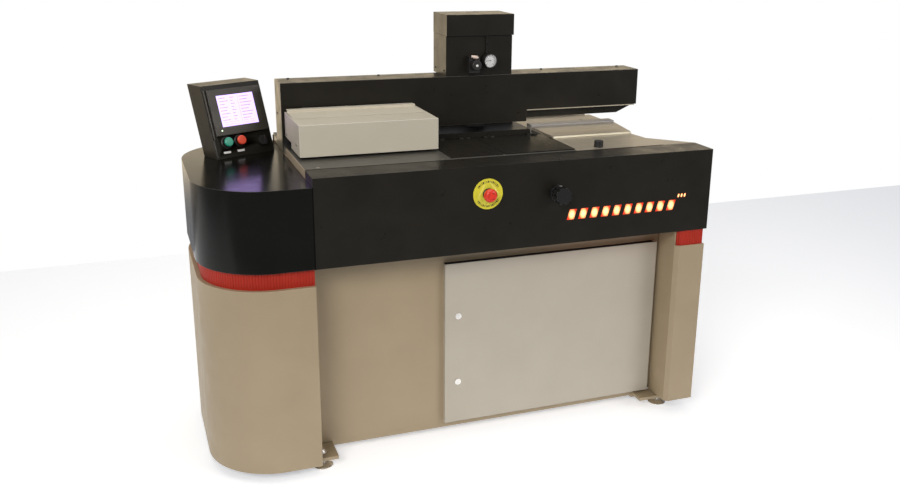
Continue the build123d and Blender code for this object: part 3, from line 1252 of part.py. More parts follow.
def console_case():
    case = console_shell(0) - console_shell(CONSOLE_WALL)
    body_u = (PANEL_U[0] + PANEL_BODY_INSET, PANEL_U[1] - PANEL_BODY_INSET)
    body_v = (PANEL_V[0] + PANEL_BODY_INSET, PANEL_V[1] - PANEL_BODY_INSET)
    case -= on_face(block(body_u, body_v, (-2 * CONSOLE_WALL, 0)))
    for u in BUTTON_U:
        case -= face_post(CAP_RADIUS - CAM_CLEARANCE, u, BUTTON_V, (-2 * CONSOLE_WALL, 0))
    case -= face_post(BUTTON_STEM_RADIUS + COVER_SEAT, MODE_U, MODE_V, (-2 * CONSOLE_WALL, 0))
    return group([case] + button_collars())


def operator_panel():
    """Panel unit: a bezel on the face, its body behind, a screen recess in front."""
    panel = block(PANEL_U, PANEL_V, (0, PANEL_PROUD))
    panel = chamfer(panel.edges().group_by(Axis.Z)[-1], SCREEN_RECESS)
    body_u = (PANEL_U[0] + PANEL_BODY_INSET, PANEL_U[1] - PANEL_BODY_INSET)
    body_v = (PANEL_V[0] + PANEL_BODY_INSET, PANEL_V[1] - PANEL_BODY_INSET)
    panel += block(body_u, body_v, (-PANEL_BEHIND, 0))
    panel -= block(SCREEN_U, SCREEN_V, (PANEL_PROUD - SCREEN_RECESS, PANEL_PROUD))
    return on_face(panel)


def push_button(u):
    bottom = COLLAR_PROUD + CAP_GAP
    cap = rod_z(CAP_RADIUS, u, BUTTON_V, (bottom, bottom + CAP_HEIGHT))
    cap = chamfer(cap.edges().group_by(Axis.Z)[-1], NIP_CHAMFER)
    return on_face(cap + rod_z(BUTTON_STEM_RADIUS, u, BUTTON_V, (bottom - BUTTON_STEM, bottom)))


def mode_knob():
    length, width, height = MODE_GRIP
    bottom = COVER_SEAT
    knob = rod_z(MODE_RADIUS, MODE_U, MODE_V, (bottom, bottom + MODE_HEIGHT))
    grip_z = (bottom + MODE_HEIGHT, bottom + MODE_HEIGHT + height)
    knob += block(around(MODE_U, width), around(MODE_V, length), grip_z)
    return on_face(knob + rod_z(BUTTON_STEM_RADIUS, MODE_U, MODE_V, (-BUTTON_STEM, bottom)))


NODES = {
    "base_frame": base_frame,
    "levelling_feet": levelling_feet,
    "left_casing": left_casing,
    "red_bands": red_bands,
    "left_housing": left_housing,
    "right_column": right_column,
    "front_panel": front_panel,
    "rear_panel": rear_panel,
    "cable_gland": cable_gland,
    "control_units": control_units,
    "cabinet_door": cabinet_door,
    "lower_lock": lambda: quarter_turn_lock(LOCK_Z[0]),
    "upper_lock": lambda: quarter_turn_lock(LOCK_Z[1]),
    "front_fascia": front_fascia,
    "light_bar": light_bar,
    "stop_station": stop_station,
    "stop_plunger": stop_plunger,
    "stop_head": stop_head,
    "adjusting_knob": adjusting_knob,
    "bed_plate": bed_plate,
    "infeed_table": infeed_table,
    "delivery_table": delivery_table,
    "table_knob": table_knob,
    "guide_bar": guide_bar,
    "milling_cover": lambda: station_cover(MILLING_X, MILLING_X[1]),
    "glue_cover": lambda: station_cover(GLUE_X, GLUE_X[0]),
    "nip_plate": nip_plate,
    "rear_nip_bar": rear_nip_bar,
    "nip_base": nip_base,
    "nip_cylinders": nip_cylinders,
    "milling_motor": milling_motor,
    "milling_cutter": milling_cutter,
    "glue_tank": glue_tank,
    "glue_roller_one": lambda: glue_roller(ROLLER_X[0]),
    "glue_roller_two": lambda: glue_roller(ROLLER_X[1]),
    "doctor_blade": doctor_blade,
    "roller_drive": roller_drive,
    "beam_frame": beam_frame,
    "beam_cover": beam_cover,
    "drive_pulley": drive_pulley,
    "idler_pulley": idler_pulley,
    "drive_belt": drive_belt,
    "belt_motor": belt_motor,
    "carriage_frame": carriage_frame,
    "clamp_cylinders": clamp_cylinders,
    "front_jaw": front_jaw,
    "rear_jaw": rear_jaw,
    "carriage_hood": carriage_hood,
    "tower_body": tower_body,
    "tower_lid": tower_lid,
    "valve_block": valve_block,
    "regulator_body": regulator_body,
    "regulator_knob": regulator_knob,
    "gauge_case": gauge_case,
    "gauge_needle": gauge_needle,
    "console_case": console_case,
    "operator_panel": operator_panel,
    "start_button": lambda: push_button(BUTTON_U[0]),
    "stop_button": lambda: push_button(BUTTON_U[1]),
    "mode_knob": mode_knob,
}

os.makedirs("parts", exist_ok=True)
for name, make in NODES.items():
    export_step(place(make()), f"parts/{name}.step")
print(len(NODES), "pieces written")
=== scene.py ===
from math import cos, hypot, pi, radians, sin

import bmesh
import bpy
from mathutils import Matrix, Vector


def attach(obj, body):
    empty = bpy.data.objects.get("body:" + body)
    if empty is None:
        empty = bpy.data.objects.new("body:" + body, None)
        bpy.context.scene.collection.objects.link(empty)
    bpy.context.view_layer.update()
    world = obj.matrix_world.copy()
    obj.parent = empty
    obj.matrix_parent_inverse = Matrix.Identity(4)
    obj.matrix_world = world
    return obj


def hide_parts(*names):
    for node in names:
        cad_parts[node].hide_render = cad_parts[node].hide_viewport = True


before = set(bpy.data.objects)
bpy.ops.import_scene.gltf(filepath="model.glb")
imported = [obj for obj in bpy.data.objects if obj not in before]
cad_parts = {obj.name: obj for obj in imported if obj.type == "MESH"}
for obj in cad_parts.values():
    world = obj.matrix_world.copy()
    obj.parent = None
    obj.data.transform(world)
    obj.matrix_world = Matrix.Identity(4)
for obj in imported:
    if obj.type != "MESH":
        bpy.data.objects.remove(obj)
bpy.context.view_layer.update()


# Camera. It stands ahead of the machine's left half, a little above the tower,
# and looks down along the machine to the right. Machine sizes are millimetres
# from the left end of the fascia, its face and the floor.
MM = 0.001
MACHINE_MIDDLE = (471.5, 304.5)
CAMERA_PLACE = (-473.2, -2479.1, 1515.1)
CAMERA_YAW = -20.7583
CAMERA_TILT = 72.9634
CAMERA_ROLL = 0.7604


def at(x, y, z):
    """Point in metres for a place on the machine."""
    return Vector((x - MACHINE_MIDDLE[0], y - MACHINE_MIDDLE[1], z)) * MM


def turn(degrees, axis):
    return Matrix.Rotation(radians(degrees), 4, axis)


def place_object(name, data):
    thing = bpy.data.objects.new(name, data)
    bpy.context.scene.collection.objects.link(thing)
    return thing


lens = bpy.data.cameras.new("camera")
lens.lens = 38.743
lens.sensor_width = 36
lens.shift_x = -0.0294
lens.shift_y = -0.0146
camera = place_object("camera", lens)
aim = turn(CAMERA_YAW, "Z") @ turn(CAMERA_TILT, "X") @ turn(CAMERA_ROLL, "Z")
camera.matrix_world = Matrix.Translation(at(*CAMERA_PLACE)) @ aim
bpy.context.scene.camera = camera
bpy.context.scene.view_settings.view_transform = "Standard"


# Floor and light. A plain pale studio floor under wide soft lamps, bright low
# walls behind the machine and a dim room everywhere else.
def add_nodes(tree, *kinds):
    return [tree.nodes.new(kind) for kind in kinds]


def join_sockets(tree, *pairs):
    for start, end in pairs:
        tree.links.new(start, end)


def new_finish(name):
    """Plain finish, with its node tree and its shader."""
    finish = bpy.data.materials.new(name)
    finish.use_nodes = True
    tree = finish.node_tree
    return finish, tree, tree.nodes["Principled BSDF"]


def set_range(node, source, target):
    for socket, value in zip(("From Min", "From Max", "To Min", "To Max"), (*source, *target)):
        node.inputs[socket].default_value = value


def set_ramp(node, *stops):
    """Position and colour of the stops of a colour ramp."""
    for element, (position, colour) in zip(node.color_ramp.elements, stops):
        element.position = position
        element.color = colour


FLOOR_SPAN = ((-3.4, -1.25), (6.0, 1.9))
floor_mesh = bpy.data.meshes.new("floor")
(left, front), (right, back) = FLOOR_SPAN
floor_corners = [(left, front, 0), (right, front, 0), (right, back, 0), (left, back, 0)]
floor_mesh.from_pydata(floor_corners, [], [(0, 1, 2, 3)])
floor = place_object("floor", floor_mesh)
floor_finish, floor_tree, floor_shader = new_finish("pale_floor")
floor_noise, floor_tone = add_nodes(floor_tree, "ShaderNodeTexNoise", "ShaderNodeValToRGB")
floor_noise.inputs["Scale"].default_value = 1.5
set_ramp(floor_tone, (0, (0.88, 0.875, 0.865, 1)), (1, (0.92, 0.915, 0.905, 1)))
join_sockets(
    floor_tree,
    (floor_noise.outputs["Fac"], floor_tone.inputs["Fac"]),
    (floor_tone.outputs["Color"], floor_shader.inputs["Base Color"]),
)
floor_shader.inputs["Roughness"].default_value = 0.8
floor_shader.inputs["Emission Color"].default_value = (0.94, 0.98, 1.05, 1)
floor_shader.inputs["Emission Strength"].default_value = 0.42
floor_mesh.materials.append(floor_finish)

WALL_LIGHT = (1.8, 1.48, 1.0, 1)
ROOM_LIGHT = (0.265, 0.27, 0.285, 1)
WALL_SIDE = (-0.17, 0.985, 0)
SIDE_FADE = (0.5, 0.8)
HEIGHT_FADE = (0.17, 0.27)
room = bpy.data.worlds.new("room")
bpy.context.scene.world = room
room.use_nodes = True
room_tree = room.node_tree
room_tree.nodes.clear()
(way, facing, side_share, parts, steep, height_share, share,
 colour, rays, light, backdrop, both, out) = add_nodes(
    room_tree, "ShaderNodeTexCoord", "ShaderNodeVectorMath", "ShaderNodeMapRange", "ShaderNodeSeparateXYZ",
    "ShaderNodeMath", "ShaderNodeMapRange", "ShaderNodeMath", "ShaderNodeMixRGB", "ShaderNodeLightPath",
    "ShaderNodeBackground", "ShaderNodeBackground", "ShaderNodeMixShader", "ShaderNodeOutputWorld")
facing.operation = "DOT_PRODUCT"
facing.inputs[1].default_value = WALL_SIDE
steep.operation = "ABSOLUTE"
share.operation = "MULTIPLY"
for node, fade, target in ((side_share, SIDE_FADE, (0, 1)), (height_share, HEIGHT_FADE, (1, 0))):
    node.interpolation_type = "SMOOTHSTEP"
    set_range(node, fade, target)
colour.inputs[1].default_value = ROOM_LIGHT
colour.inputs[2].default_value = WALL_LIGHT
backdrop.inputs["Color"].default_value = (1, 1, 1, 1)
join_sockets(
    room_tree,
    (way.outputs["Generated"], facing.inputs[0]),
    (facing.outputs["Value"], side_share.inputs["Value"]),
    (way.outputs["Generated"], parts.inputs[0]),
    (parts.outputs["Z"], steep.inputs[0]),
    (steep.outputs[0], height_share.inputs["Value"]),
    (side_share.outputs["Result"], share.inputs[0]),
    (height_share.outputs["Result"], share.inputs[1]),
    (share.outputs[0], colour.inputs[0]),
    (colour.outputs[0], light.inputs["Color"]),
    (rays.outputs["Is Camera Ray"], both.inputs[0]),
    (light.outputs[0], both.inputs[1]),
    (backdrop.outputs[0], both.inputs[2]),
    (both.outputs[0], out.inputs["Surface"]),
)


def add_lamp(name, place, target, size, watts, colour, spread=180):
    data = bpy.data.lights.new(name, "AREA")
    data.size = size
    data.energy = watts
    data.color = colour
    data.spread = radians(spread)
    lamp = place_object(name, data)
    way = Vector(target) - Vector(place)
    lamp.matrix_world = Matrix.Translation(place) @ way.to_track_quat("-Z", "Y").to_matrix().to_4x4()


add_lamp("key_lamp", (-2.6, -3.4, 3.0), (0, 0, 0.6), 1.8, 24, (1, 0.975, 0.93), 80)
add_lamp("fill_lamp", (3.0, -3.2, 2.4), (0.1, 0, 0.6), 2.0, 13.5, (1, 0.98, 0.95), 80)
add_lamp("over_lamp", (-0.5, 0.6, 3.6), (-0.5, 0.6, 0), 3.4, 46, (1, 0.94, 0.84))


# Frame. Square steel tubes welded together, coated in the same beige as the
# casings; threaded chrome feet stand under its four plates.
def varied_finish(name, light_tone, dark_tone, gloss, grain, depth, stretch=(1, 1, 1), **settings):
    """Finish with patchy tone, uneven gloss and a fine grain.

    gloss is the range of roughness, grain the fineness of the grain and depth its height in
    millimetres; stretch draws the pattern out, and settings are more sockets of the shader.
    """
    finish, tree, shader = new_finish(name)
    spot, spread, patches, tones, smears, shine, grains, relief = add_nodes(
        tree, "ShaderNodeTexCoord", "ShaderNodeMapping", "ShaderNodeTexNoise", "ShaderNodeValToRGB",
        "ShaderNodeTexNoise", "ShaderNodeMapRange", "ShaderNodeTexNoise", "ShaderNodeBump")
    spread.inputs["Scale"].default_value = stretch
    for noise, scale, detail in ((patches, 7, 5), (smears, 23, 4), (grains, grain, 3)):
        noise.inputs["Scale"].default_value = scale
        noise.inputs["Detail"].default_value = detail
        tree.links.new(spread.outputs["Vector"], noise.inputs["Vector"])
    set_ramp(tones, (0.3, (*dark_tone, 1)), (0.7, (*light_tone, 1)))
    set_range(shine, (0.3, 0.7), gloss)
    relief.inputs["Strength"].default_value = 0.5
    relief.inputs["Distance"].default_value = depth * MM
    join_sockets(
        tree,
        (spot.outputs["Object"], spread.inputs["Vector"]),
        (patches.outputs["Fac"], tones.inputs["Fac"]),
        (tones.outputs["Color"], shader.inputs["Base Color"]),
        (smears.outputs["Fac"], shine.inputs["Value"]),
        (shine.outputs["Result"], shader.inputs["Roughness"]),
        (grains.outputs["Fac"], relief.inputs["Height"]),
        (relief.outputs["Normal"], shader.inputs["Normal"]),
    )
    for key, value in settings.items():
        socket = key.replace("_", " ").title().replace("Ior", "IOR")
        shader.inputs[socket].default_value = value
    return finish


def joined_faces():
    """Modifier tree that joins a piece's faces along their edges and keeps only real corners sharp."""
    tree = bpy.data.node_groups.new("joined_faces", "GeometryNodeTree")
    tree.interface.new_socket("Geometry", in_out="INPUT", socket_type="NodeSocketGeometry")
    tree.interface.new_socket("Geometry", in_out="OUTPUT", socket_type="NodeSocketGeometry")
    start, join, plain, smooth, corners, angle, wide, end = add_nodes(
        tree, "NodeGroupInput", "GeometryNodeMergeByDistance", "GeometryNodeRemoveAttribute",
        "GeometryNodeSetShadeSmooth", "GeometryNodeSetShadeSmooth", "GeometryNodeInputMeshEdgeAngle",
        "FunctionNodeCompare", "NodeGroupOutput")
    join.inputs["Distance"].default_value = 0.00001
    plain.inputs["Name"].default_value = "custom_normal"
    corners.domain = "EDGE"
    corners.inputs["Shade Smooth"].default_value = False
    wide.operation = "GREATER_THAN"
    wide.inputs[1].default_value = radians(28)
    join_sockets(
        tree,
        (start.outputs[0], join.inputs["Geometry"]),
        (join.outputs[0], plain.inputs["Geometry"]),
        (plain.outputs[0], smooth.inputs["Geometry"]),
        (smooth.outputs[0], corners.inputs["Geometry"]),
        (angle.outputs["Unsigned Angle"], wide.inputs[0]),
        (wide.outputs[0], corners.inputs["Selection"]),
        (corners.outputs[0], end.inputs[0]),
    )
    return tree


JOINED = joined_faces()


def round_edges(thing, width, edge_wear_and_highlight):
    bevel = thing.modifiers.new("edges", "BEVEL")
    bevel.width = width * MM
    bevel.segments = 2
    bevel.limit_method = "ANGLE"
    bevel.angle_limit = radians(30)
    bevel.use_clamp_overlap = True
    bevel.harden_normals = True
    # The bevels take the second material when there is one: painted highlight and shade along the edges,
    # besides wear.
    bevel.material = 1 if edge_wear_and_highlight else -1


def coat(nodes, finish, edge=0.8, edge_wear_and_highlight=None):
    """Give modelled pieces their finish and rounded edges; an edge finish, if given, goes on the bevels and
    paints highlights and shade along the edges as well as wear.
    """
    for name in nodes:
        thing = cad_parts[name]
        thing.material_slots[0].material = finish
        if edge_wear_and_highlight:
            thing.data.materials.append(edge_wear_and_highlight)
        modifier = thing.modifiers.new("joined_faces", "NODES")
        modifier.node_group = JOINED
        flat = thing.modifiers.new("flat_faces", "DECIMATE")
        flat.decimate_type = "DISSOLVE"
        flat.angle_limit = radians(0.4)
        if edge:
            round_edges(thing, edge, edge_wear_and_highlight)


BEIGE = (0.357, 0.279, 0.176)
BEIGE_DARK = (0.330, 0.256, 0.160)
beige_paint = varied_finish("beige_paint", BEIGE, BEIGE_DARK, (0.42, 0.55), 900, 0.25)
# Lighter beige for bevelled edges and the table's end trim: a painted highlight, besides paint worn thin at
# the edges.
beige_highlight = varied_finish("beige_highlight", (0.46, 0.38, 0.27), BEIGE, (0.35, 0.5), 600, 0.1)
coat(["base_frame"], beige_paint, 1.5, beige_highlight)
chrome = varied_finish("chrome", (0.92, 0.90, 0.86), (0.78, 0.76, 0.73), (0.10, 0.24), 500, 0.02,
                       metallic=1)
coat(["levelling_feet"], chrome, 0.6)

FOOT_PLACES = ((10, 52), (1160, 85), (71, 579), (1059, 579))
FOOT_PLATE_TOP = 39


def add_turned(shape, profile, centre, axis="Z", steps=32):
    """Turned form round an axis, from pairs of radius and height along it.

    A profile that ends where it starts makes a ring.
    """
    ring_form = profile[0] == profile[-1]
    rings = []
    for radius, height in profile[:-1] if ring_form else profile:
        ring = []
        for step in range(steps if radius else 1):
            a = radius * cos(2 * pi * step / steps)
            b = radius * sin(2 * pi * step / steps)
            offset = {"X": (height, a, b), "Y": (a, height, b), "Z": (a, b, height)}[axis]
            ring.append(shape.verts.new(Vector(centre) + Vector(offset)))
        rings.append(ring)
    for ring, after in zip(rings, rings[1:] + rings[:1] if ring_form else rings[1:]):
        for step in range(steps):
            follow = (step + 1) % steps
            corners = [ring[step % len(ring)], ring[follow % len(ring)]]
            corners += [after[follow % len(after)], after[step % len(after)]]
            distinct = [corner for index, corner in enumerate(corners) if corner not in corners[:index]]
            if len(distinct) > 2:
                shape.faces.new(distinct)
    for ring in () if ring_form else (rings[0], rings[-1]):
        if len(ring) > 1:
            shape.faces.new(ring)


def make_piece(name, shape, finish, body, slot, edge=0, face=None):
    """Finished piece from a shape in machine millimetres, riding on a body.

    face places a shape that was made flat, in that face's own axes.
    """
    bmesh.ops.recalc_face_normals(shape, faces=shape.faces)
    if face:
        shape.transform(face)
    shape.transform(Matrix.Scale(MM, 4) @ Matrix.Translation((-MACHINE_MIDDLE[0], -MACHINE_MIDDLE[1], 0)))
    mesh = bpy.data.meshes.new(name)
    shape.to_mesh(mesh)
    shape.free()
    mesh.shade_smooth()
    mesh.set_sharp_from_angle(angle=radians(28))
    mesh.materials.append(finish)
    thing = place_object(name, mesh)
    if edge:
        round_edges(thing, edge, None)
    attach(thing, body)
    return thing


def turned_piece(name, profile, places, axis, steps, *looks):
    """Finished piece of one turned form at each place; looks go to make_piece."""
    shape = bmesh.new()
    for place in places:
        add_turned(shape, profile, place, axis, steps)
    make_piece(name, shape, *looks)


LOCK_NUT = ((10, 0), (14, 1), (15, 2), (15, 8), (14, 9), (10, 9))
nut_places = [(x, y, FOOT_PLATE_TOP) for x, y in FOOT_PLACES]
turned_piece("foot_lock_nuts", LOCK_NUT, nut_places, "Z", 6, chrome, "frame", "chrome", 0.5)


# Cabinet casings. Bent sheet steel, beige powder coat with a fine orange-peel
# grain; the rear sheet has pressed louvres over its vents and a row of screws.
coat(["left_casing", "right_column", "front_panel", "rear_panel"], beige_paint, 1.0, beige_highlight)


def add_prism(shape, outline, span, axis="Z"):
    """Straight prism on a flat outline; the axis is the one that it stands along."""
    ends = []
    for height in span:
        corners = []
        for a, b in outline:
            corner = {"X": (height, a, b), "Y": (a, height, b), "Z": (a, b, height)}[axis]
            corners.append(shape.verts.new(corner))
        ends.append(corners)
    count = len(outline)
    for index in range(count):
        after = (index + 1) % count
        shape.faces.new((ends[0][index], ends[0][after], ends[1][after], ends[1][index]))
    for corners in ends:
        shape.faces.new(corners)


def add_block(shape, x, y, z):
    add_prism(shape, ((x[0], y[0]), (x[1], y[0]), (x[1], y[1]), (x[0], y[1])), z)


def block_piece(name, blocks, *looks):
    """Finished piece of blocks, each given by its three spans; looks go to make_piece."""
    shape = bmesh.new()
    for block in blocks:
        add_block(shape, *block)
    make_piece(name, shape, *looks)


SCREW_HEAD = ((0, 1.2), (1.5, 1.2), (1.7, 2.3), (3.4, 2.3), (4.2, 1.6), (4.3, 0))


def add_screws(shape, places, axis="Z", side=1, size=1.0):
    """Button-head screws with a round socket, standing out of a face to the given side."""
    head = [(radius * size, side * height * size) for radius, height in SCREW_HEAD]
    for place in places:
        add_turned(shape, head, place, axis, 16)


zinc = varied_finish("zinc_screws", (0.60, 0.58, 0.52), (0.42, 0.40, 0.36), (0.25, 0.4), 700, 0.05,
                     metallic=1)
REAR_FACE = 650
RIGHT_FACE = 1130
VENT_X = (248, 412)
VENT_LOW = 300
LOUVRE_COUNT = 9
LOUVRE_PITCH = 26
LOUVRE_SHEET = 2
louvres = bmesh.new()
for index in range(LOUVRE_COUNT):
    low = VENT_LOW + LOUVRE_PITCH * index
    root, lip = (REAR_FACE, low + 13), (REAR_FACE + 6, low + 1)
    add_prism(louvres, (root, lip, (REAR_FACE + 5, low), (REAR_FACE, low + 10.5)), VENT_X, "X")
    for end in (VENT_X[0], VENT_X[1] - LOUVRE_SHEET):
        add_prism(louvres, (root, lip, (REAR_FACE, low)), (end, end + LOUVRE_SHEET), "X")
make_piece("vent_louvres", louvres, beige_paint, "frame", "beige_paint", 0.4)
SCREW_ROWS = (62, 845)
SCREWS_BETWEEN = (320, 580)
panel_screws = bmesh.new()
rear_places = [(x, REAR_FACE, z) for x in (28, 300, 575, 850, 1102) for z in SCREW_ROWS]
rear_places += [(x, REAR_FACE, z) for x in (28, 1102) for z in SCREWS_BETWEEN]
add_screws(panel_screws, rear_places, "Y")
side_places = [(RIGHT_FACE, y, z) for y in (232, 430, 628) for z in SCREW_ROWS]
side_places += [(RIGHT_FACE, y, z) for y in (232, 628) for z in SCREWS_BETWEEN]
add_screws(panel_screws, side_places, "X")
make_piece("panel_screws", panel_screws, zinc, "frame", "chrome")
black_plastic = varied_finish("black_plastic", (0.022, 0.021, 0.020), (0.013, 0.012, 0.012), (0.38, 0.52),
                              1200, 0.15)
coat(["cable_gland"], black_plastic, 0.5)


# Red bands. A fluted plastic strip set back between the casings and the black
# top, round the left end and the column, whose left side is steel to the top.
BAND = (582, 631.5)
BAND_RADIUS = 188
FLUTE_PITCH = 8
FLUTE_DEPTH = 1.9
FLUTE_STEPS = 6
BAND_WALL = 3


def arc(centre, radius, start, end, steps):
    angles = [radians(start + (end - start) * step / steps) for step in range(steps + 1)]
    return [(centre[0] + radius * cos(angle), centre[1] + radius * sin(angle)) for angle in angles]


def even_steps(line, pitch):
    """Points at even distances along a line, with the way along it at each."""
    points = []
    spare = 0
    for (ax, ay), (bx, by) in zip(line, line[1:]):
        length = hypot(bx - ax, by - ay)
        way = ((bx - ax) / length, (by - ay) / length)
        reach = spare
        while reach < length:
            points.append((ax + way[0] * reach, ay + way[1] * reach, way))
            reach += pitch
        spare = reach - length
    return points


def add_fluted_wall(shape, line, inward):
    """Upright wall along a line, with rounded flutes on its outer side."""
    columns = []
    for index, (x, y, way) in enumerate(even_steps(line, FLUTE_PITCH / FLUTE_STEPS)):
        wave = abs(sin(pi * index / FLUTE_STEPS)) ** 0.6
        normal = (-way[1] * inward, way[0] * inward)
        dip = FLUTE_DEPTH * (1 - wave)
        outer = (x + normal[0] * dip, y + normal[1] * dip)
        inner = (x + normal[0] * BAND_WALL, y + normal[1] * BAND_WALL)
        column = [shape.verts.new((*spot, z)) for spot in (outer, inner) for z in BAND]
        columns.append(column)
    for (a, b, c, d), (e, f, g, h) in zip(columns, columns[1:]):
        for corners in ((a, e, f, b), (c, d, h, g), (a, c, g, e), (b, f, h, d)):
            shape.faces.new(corners)
    for a, b, c, d in (columns[0], columns[-1]):
        shape.faces.new((a, b, d, c))


red_trim = varied_finish("red_trim", (0.42, 0.025, 0.011), (0.35, 0.019, 0.008), (0.35, 0.5), 800, 0.1,
                         ior=1.35)
bands = bmesh.new()
front_bend = arc((-100, 200), BAND_RADIUS, 270, 180, 40)
rear_bend = arc((-100, 450), BAND_RADIUS, 180, 90, 40)
left_line = [(0, 12), *front_bend, *rear_bend, (0, 638)]
add_fluted_wall(bands, left_line, -1)
column_line = [(1142.2, 13.5), (1151.7, 4), (1234, 4), (1234, 99.3), (1133.5, 197)]
add_fluted_wall(bands, column_line, 1)
fluted_bands = make_piece("fluted_bands", bands, red_trim, "frame", "red_trim")
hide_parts("red_bands")
upstand = bmesh.new()
add_prism(upstand, ((1138, 112), (1138, 12.2), (1142, 13.4), (1142, 112)), (BAND[0] - 0.5, BAND[1] - 0.1))
make_piece("column_upstand", upstand, beige_paint, "frame", "beige_paint", 0.6)


# Round housing. Folded and rolled sheet steel under the console, in glossy
# black enamel that mirrors the screen.
BLACK = (0.0160, 0.0140, 0.0100)
BLACK_DARK = (0.0115, 0.0100, 0.0072)
black_gloss = varied_finish("black_gloss", (0.006, 0.006, 0.0045), (0.004, 0.004, 0.003), (0.15, 0.22),
                            500, 0.03, ior=1.32)
black_paint = varied_finish("black_paint", BLACK, BLACK_DARK, (0.27, 0.38), 1100, 0.05, ior=1.32)
# Lighter black for bevelled edges, a painted highlight along them; it is also the own finish of dark
# screws, the gauge bezel and its pipe.
black_highlight_and_trim = varied_finish("black_highlight_and_trim", (0.026, 0.024, 0.020), (0.014, 0.013, 0.011), (0.22, 0.34),
                           900, 0.05, ior=1.4)
coat(["left_housing"], black_gloss, 1.2, black_highlight_and_trim)


# Front fascia. One long folded sheet with a lip over the table's front edge,
# black enamel; it carries the lit slots and the operating controls.
coat(["front_fascia"], black_paint, 1.4, black_highlight_and_trim)
fascia_screws = bmesh.new()
add_screws(fascia_screws, [(x, 10, BAND[1]) for x in (60, 420, 800, 1100)], "Z", -1)
make_piece("fascia_screws", fascia_screws, black_highlight_and_trim, "frame", "black_paint")


# Lit slots. Thirteen slanted windows in the fascia, each with an amber diffuser
# that is pale in its middle and red at its rim; one lamp strip lies behind them.
SLOT_DEPTH = (0.5, 2.7)
SLOT_GAP = 0.6


def glowing(name, core, rim, strength, reach):
    """Lit plastic, brighter in the middle of each window than at its rim."""
    finish, tree, shader = new_finish(name)
    spot, size, length, fade, uneven, mixed = add_nodes(
        tree, "ShaderNodeTexCoord", "ShaderNodeVectorMath", "ShaderNodeVectorMath", "ShaderNodeValToRGB",
        "ShaderNodeTexNoise", "ShaderNodeMixRGB")
    size.operation = "MULTIPLY"
    size.inputs[1].default_value = reach
    length.operation = "LENGTH"
    set_ramp(fade, (0.25, core), (1, rim))
    uneven.inputs["Scale"].default_value = 300
    mixed.blend_type = "MULTIPLY"
    mixed.inputs[0].default_value = 0.25
    join_sockets(
        tree,
        (spot.outputs["Object"], size.inputs[0]),
        (spot.outputs["Object"], uneven.inputs["Vector"]),
        (size.outputs[0], length.inputs[0]),
        (length.outputs["Value"], fade.inputs["Fac"]),
        (fade.outputs["Color"], mixed.inputs[1]),
        (uneven.outputs["Fac"], mixed.inputs[2]),
        (mixed.outputs[0], shader.inputs["Emission Color"]),
        (fade.outputs["Color"], shader.inputs["Base Color"]),
    )
    shader.inputs["Emission Strength"].default_value = strength
    shader.inputs["Roughness"].default_value = 0.3
    return finish


def slot_windows(count, first, pitch, low, width, height, slant, finish):
    """Row of slanted windows; first and low are the left and lower edge of the row."""
    for index in range(count):
        centre = at(first + index * pitch + (width + slant) / 2, sum(SLOT_DEPTH) / 2, low + height / 2)
        half_x = (width / 2 - SLOT_GAP) * MM
        half_z = (height / 2 - SLOT_GAP) * MM
        lean = slant / 2 * MM
        half_y = (SLOT_DEPTH[1] - SLOT_DEPTH[0]) / 2 * MM
        shape = bmesh.new()
        bottom = ((-half_x - lean, -half_z), (half_x - lean, -half_z))
        top = ((half_x + lean, half_z), (-half_x + lean, half_z))
        add_prism(shape, bottom + top, (-half_y, half_y), "Y")
        bmesh.ops.recalc_face_normals(shape, faces=shape.faces)
        mesh = bpy.data.meshes.new("slot_window")
        shape.to_mesh(mesh)
        shape.free()
        mesh.materials.append(finish)
        window = place_object(f"slot_window_{count}_{index + 1}", mesh)
        window.location = centre
        round_edges(window, 0.5, None)
        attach(window, "frame")


AMBER_CORE = (1.0, 0.66, 0.25, 1)
AMBER_RIM = (0.50, 0.022, 0.006, 1)
big_glow = glowing("amber_glow", AMBER_CORE, AMBER_RIM, 1.9, (75, 0, 55))
small_glow = glowing("amber_glow_small", AMBER_CORE, AMBER_RIM, 1.7, (220, 0, 130))
slot_windows(10, first=752, pitch=37.5, low=704, width=24, height=32, slant=9, finish=big_glow)
slot_windows(3, first=1126, pitch=11, low=742, width=7, height=12, slant=3.375, finish=small_glow)
lamp_strip = varied_finish("lamp_strip", (0.95, 0.5, 0.15), (0.8, 0.2, 0.06), (0.3, 0.4), 400, 0.1,
                           emission_color=(1.0, 0.22, 0.05, 1), emission_strength=1.0)
coat(["light_bar"], lamp_strip, 0.6)


# Emergency stop. Yellow backing plate with a ring of dark marks, black collar,
# red mushroom head on its stem; it is pressed in and turned to let go.
STOP = (500, 805)
MARK_REACH = (33, 39)
MARK_HALF_WIDTH = 1.6
ARROW_DEPTH = (-31.6, -31.25)
ARROW_RADII = (8.7, 10.5)
BARB_RADII = (6.8, 12.4)
yellow_plastic = varied_finish("yellow_plastic", (0.72, 0.64, 0.04), (0.66, 0.58, 0.035), (0.3, 0.42),
                               900, 0.05)
red_plastic = varied_finish("red_plastic", (0.80, 0.045, 0.018), (0.70, 0.032, 0.014), (0.2, 0.3),
                            700, 0.04, coat_weight=0.4, coat_roughness=0.1)
coat(["stop_station"], yellow_plastic, 0.4)
coat(["stop_plunger"], black_plastic, 0.3)
coat(["stop_head"], red_plastic, 2.2)


def radial_bar(centre, angle, reach, half_width):
    """Outline of a short bar that points away from a centre."""
    outline = []
    near, far = reach
    for distance, side in ((near, -half_width), (near, half_width), (far, half_width), (far, -half_width)):
        x = centre[0] + distance * cos(angle) - side * sin(angle)
        z = centre[1] + distance * sin(angle) + side * cos(angle)
        outline.append((x, z))
    return outline


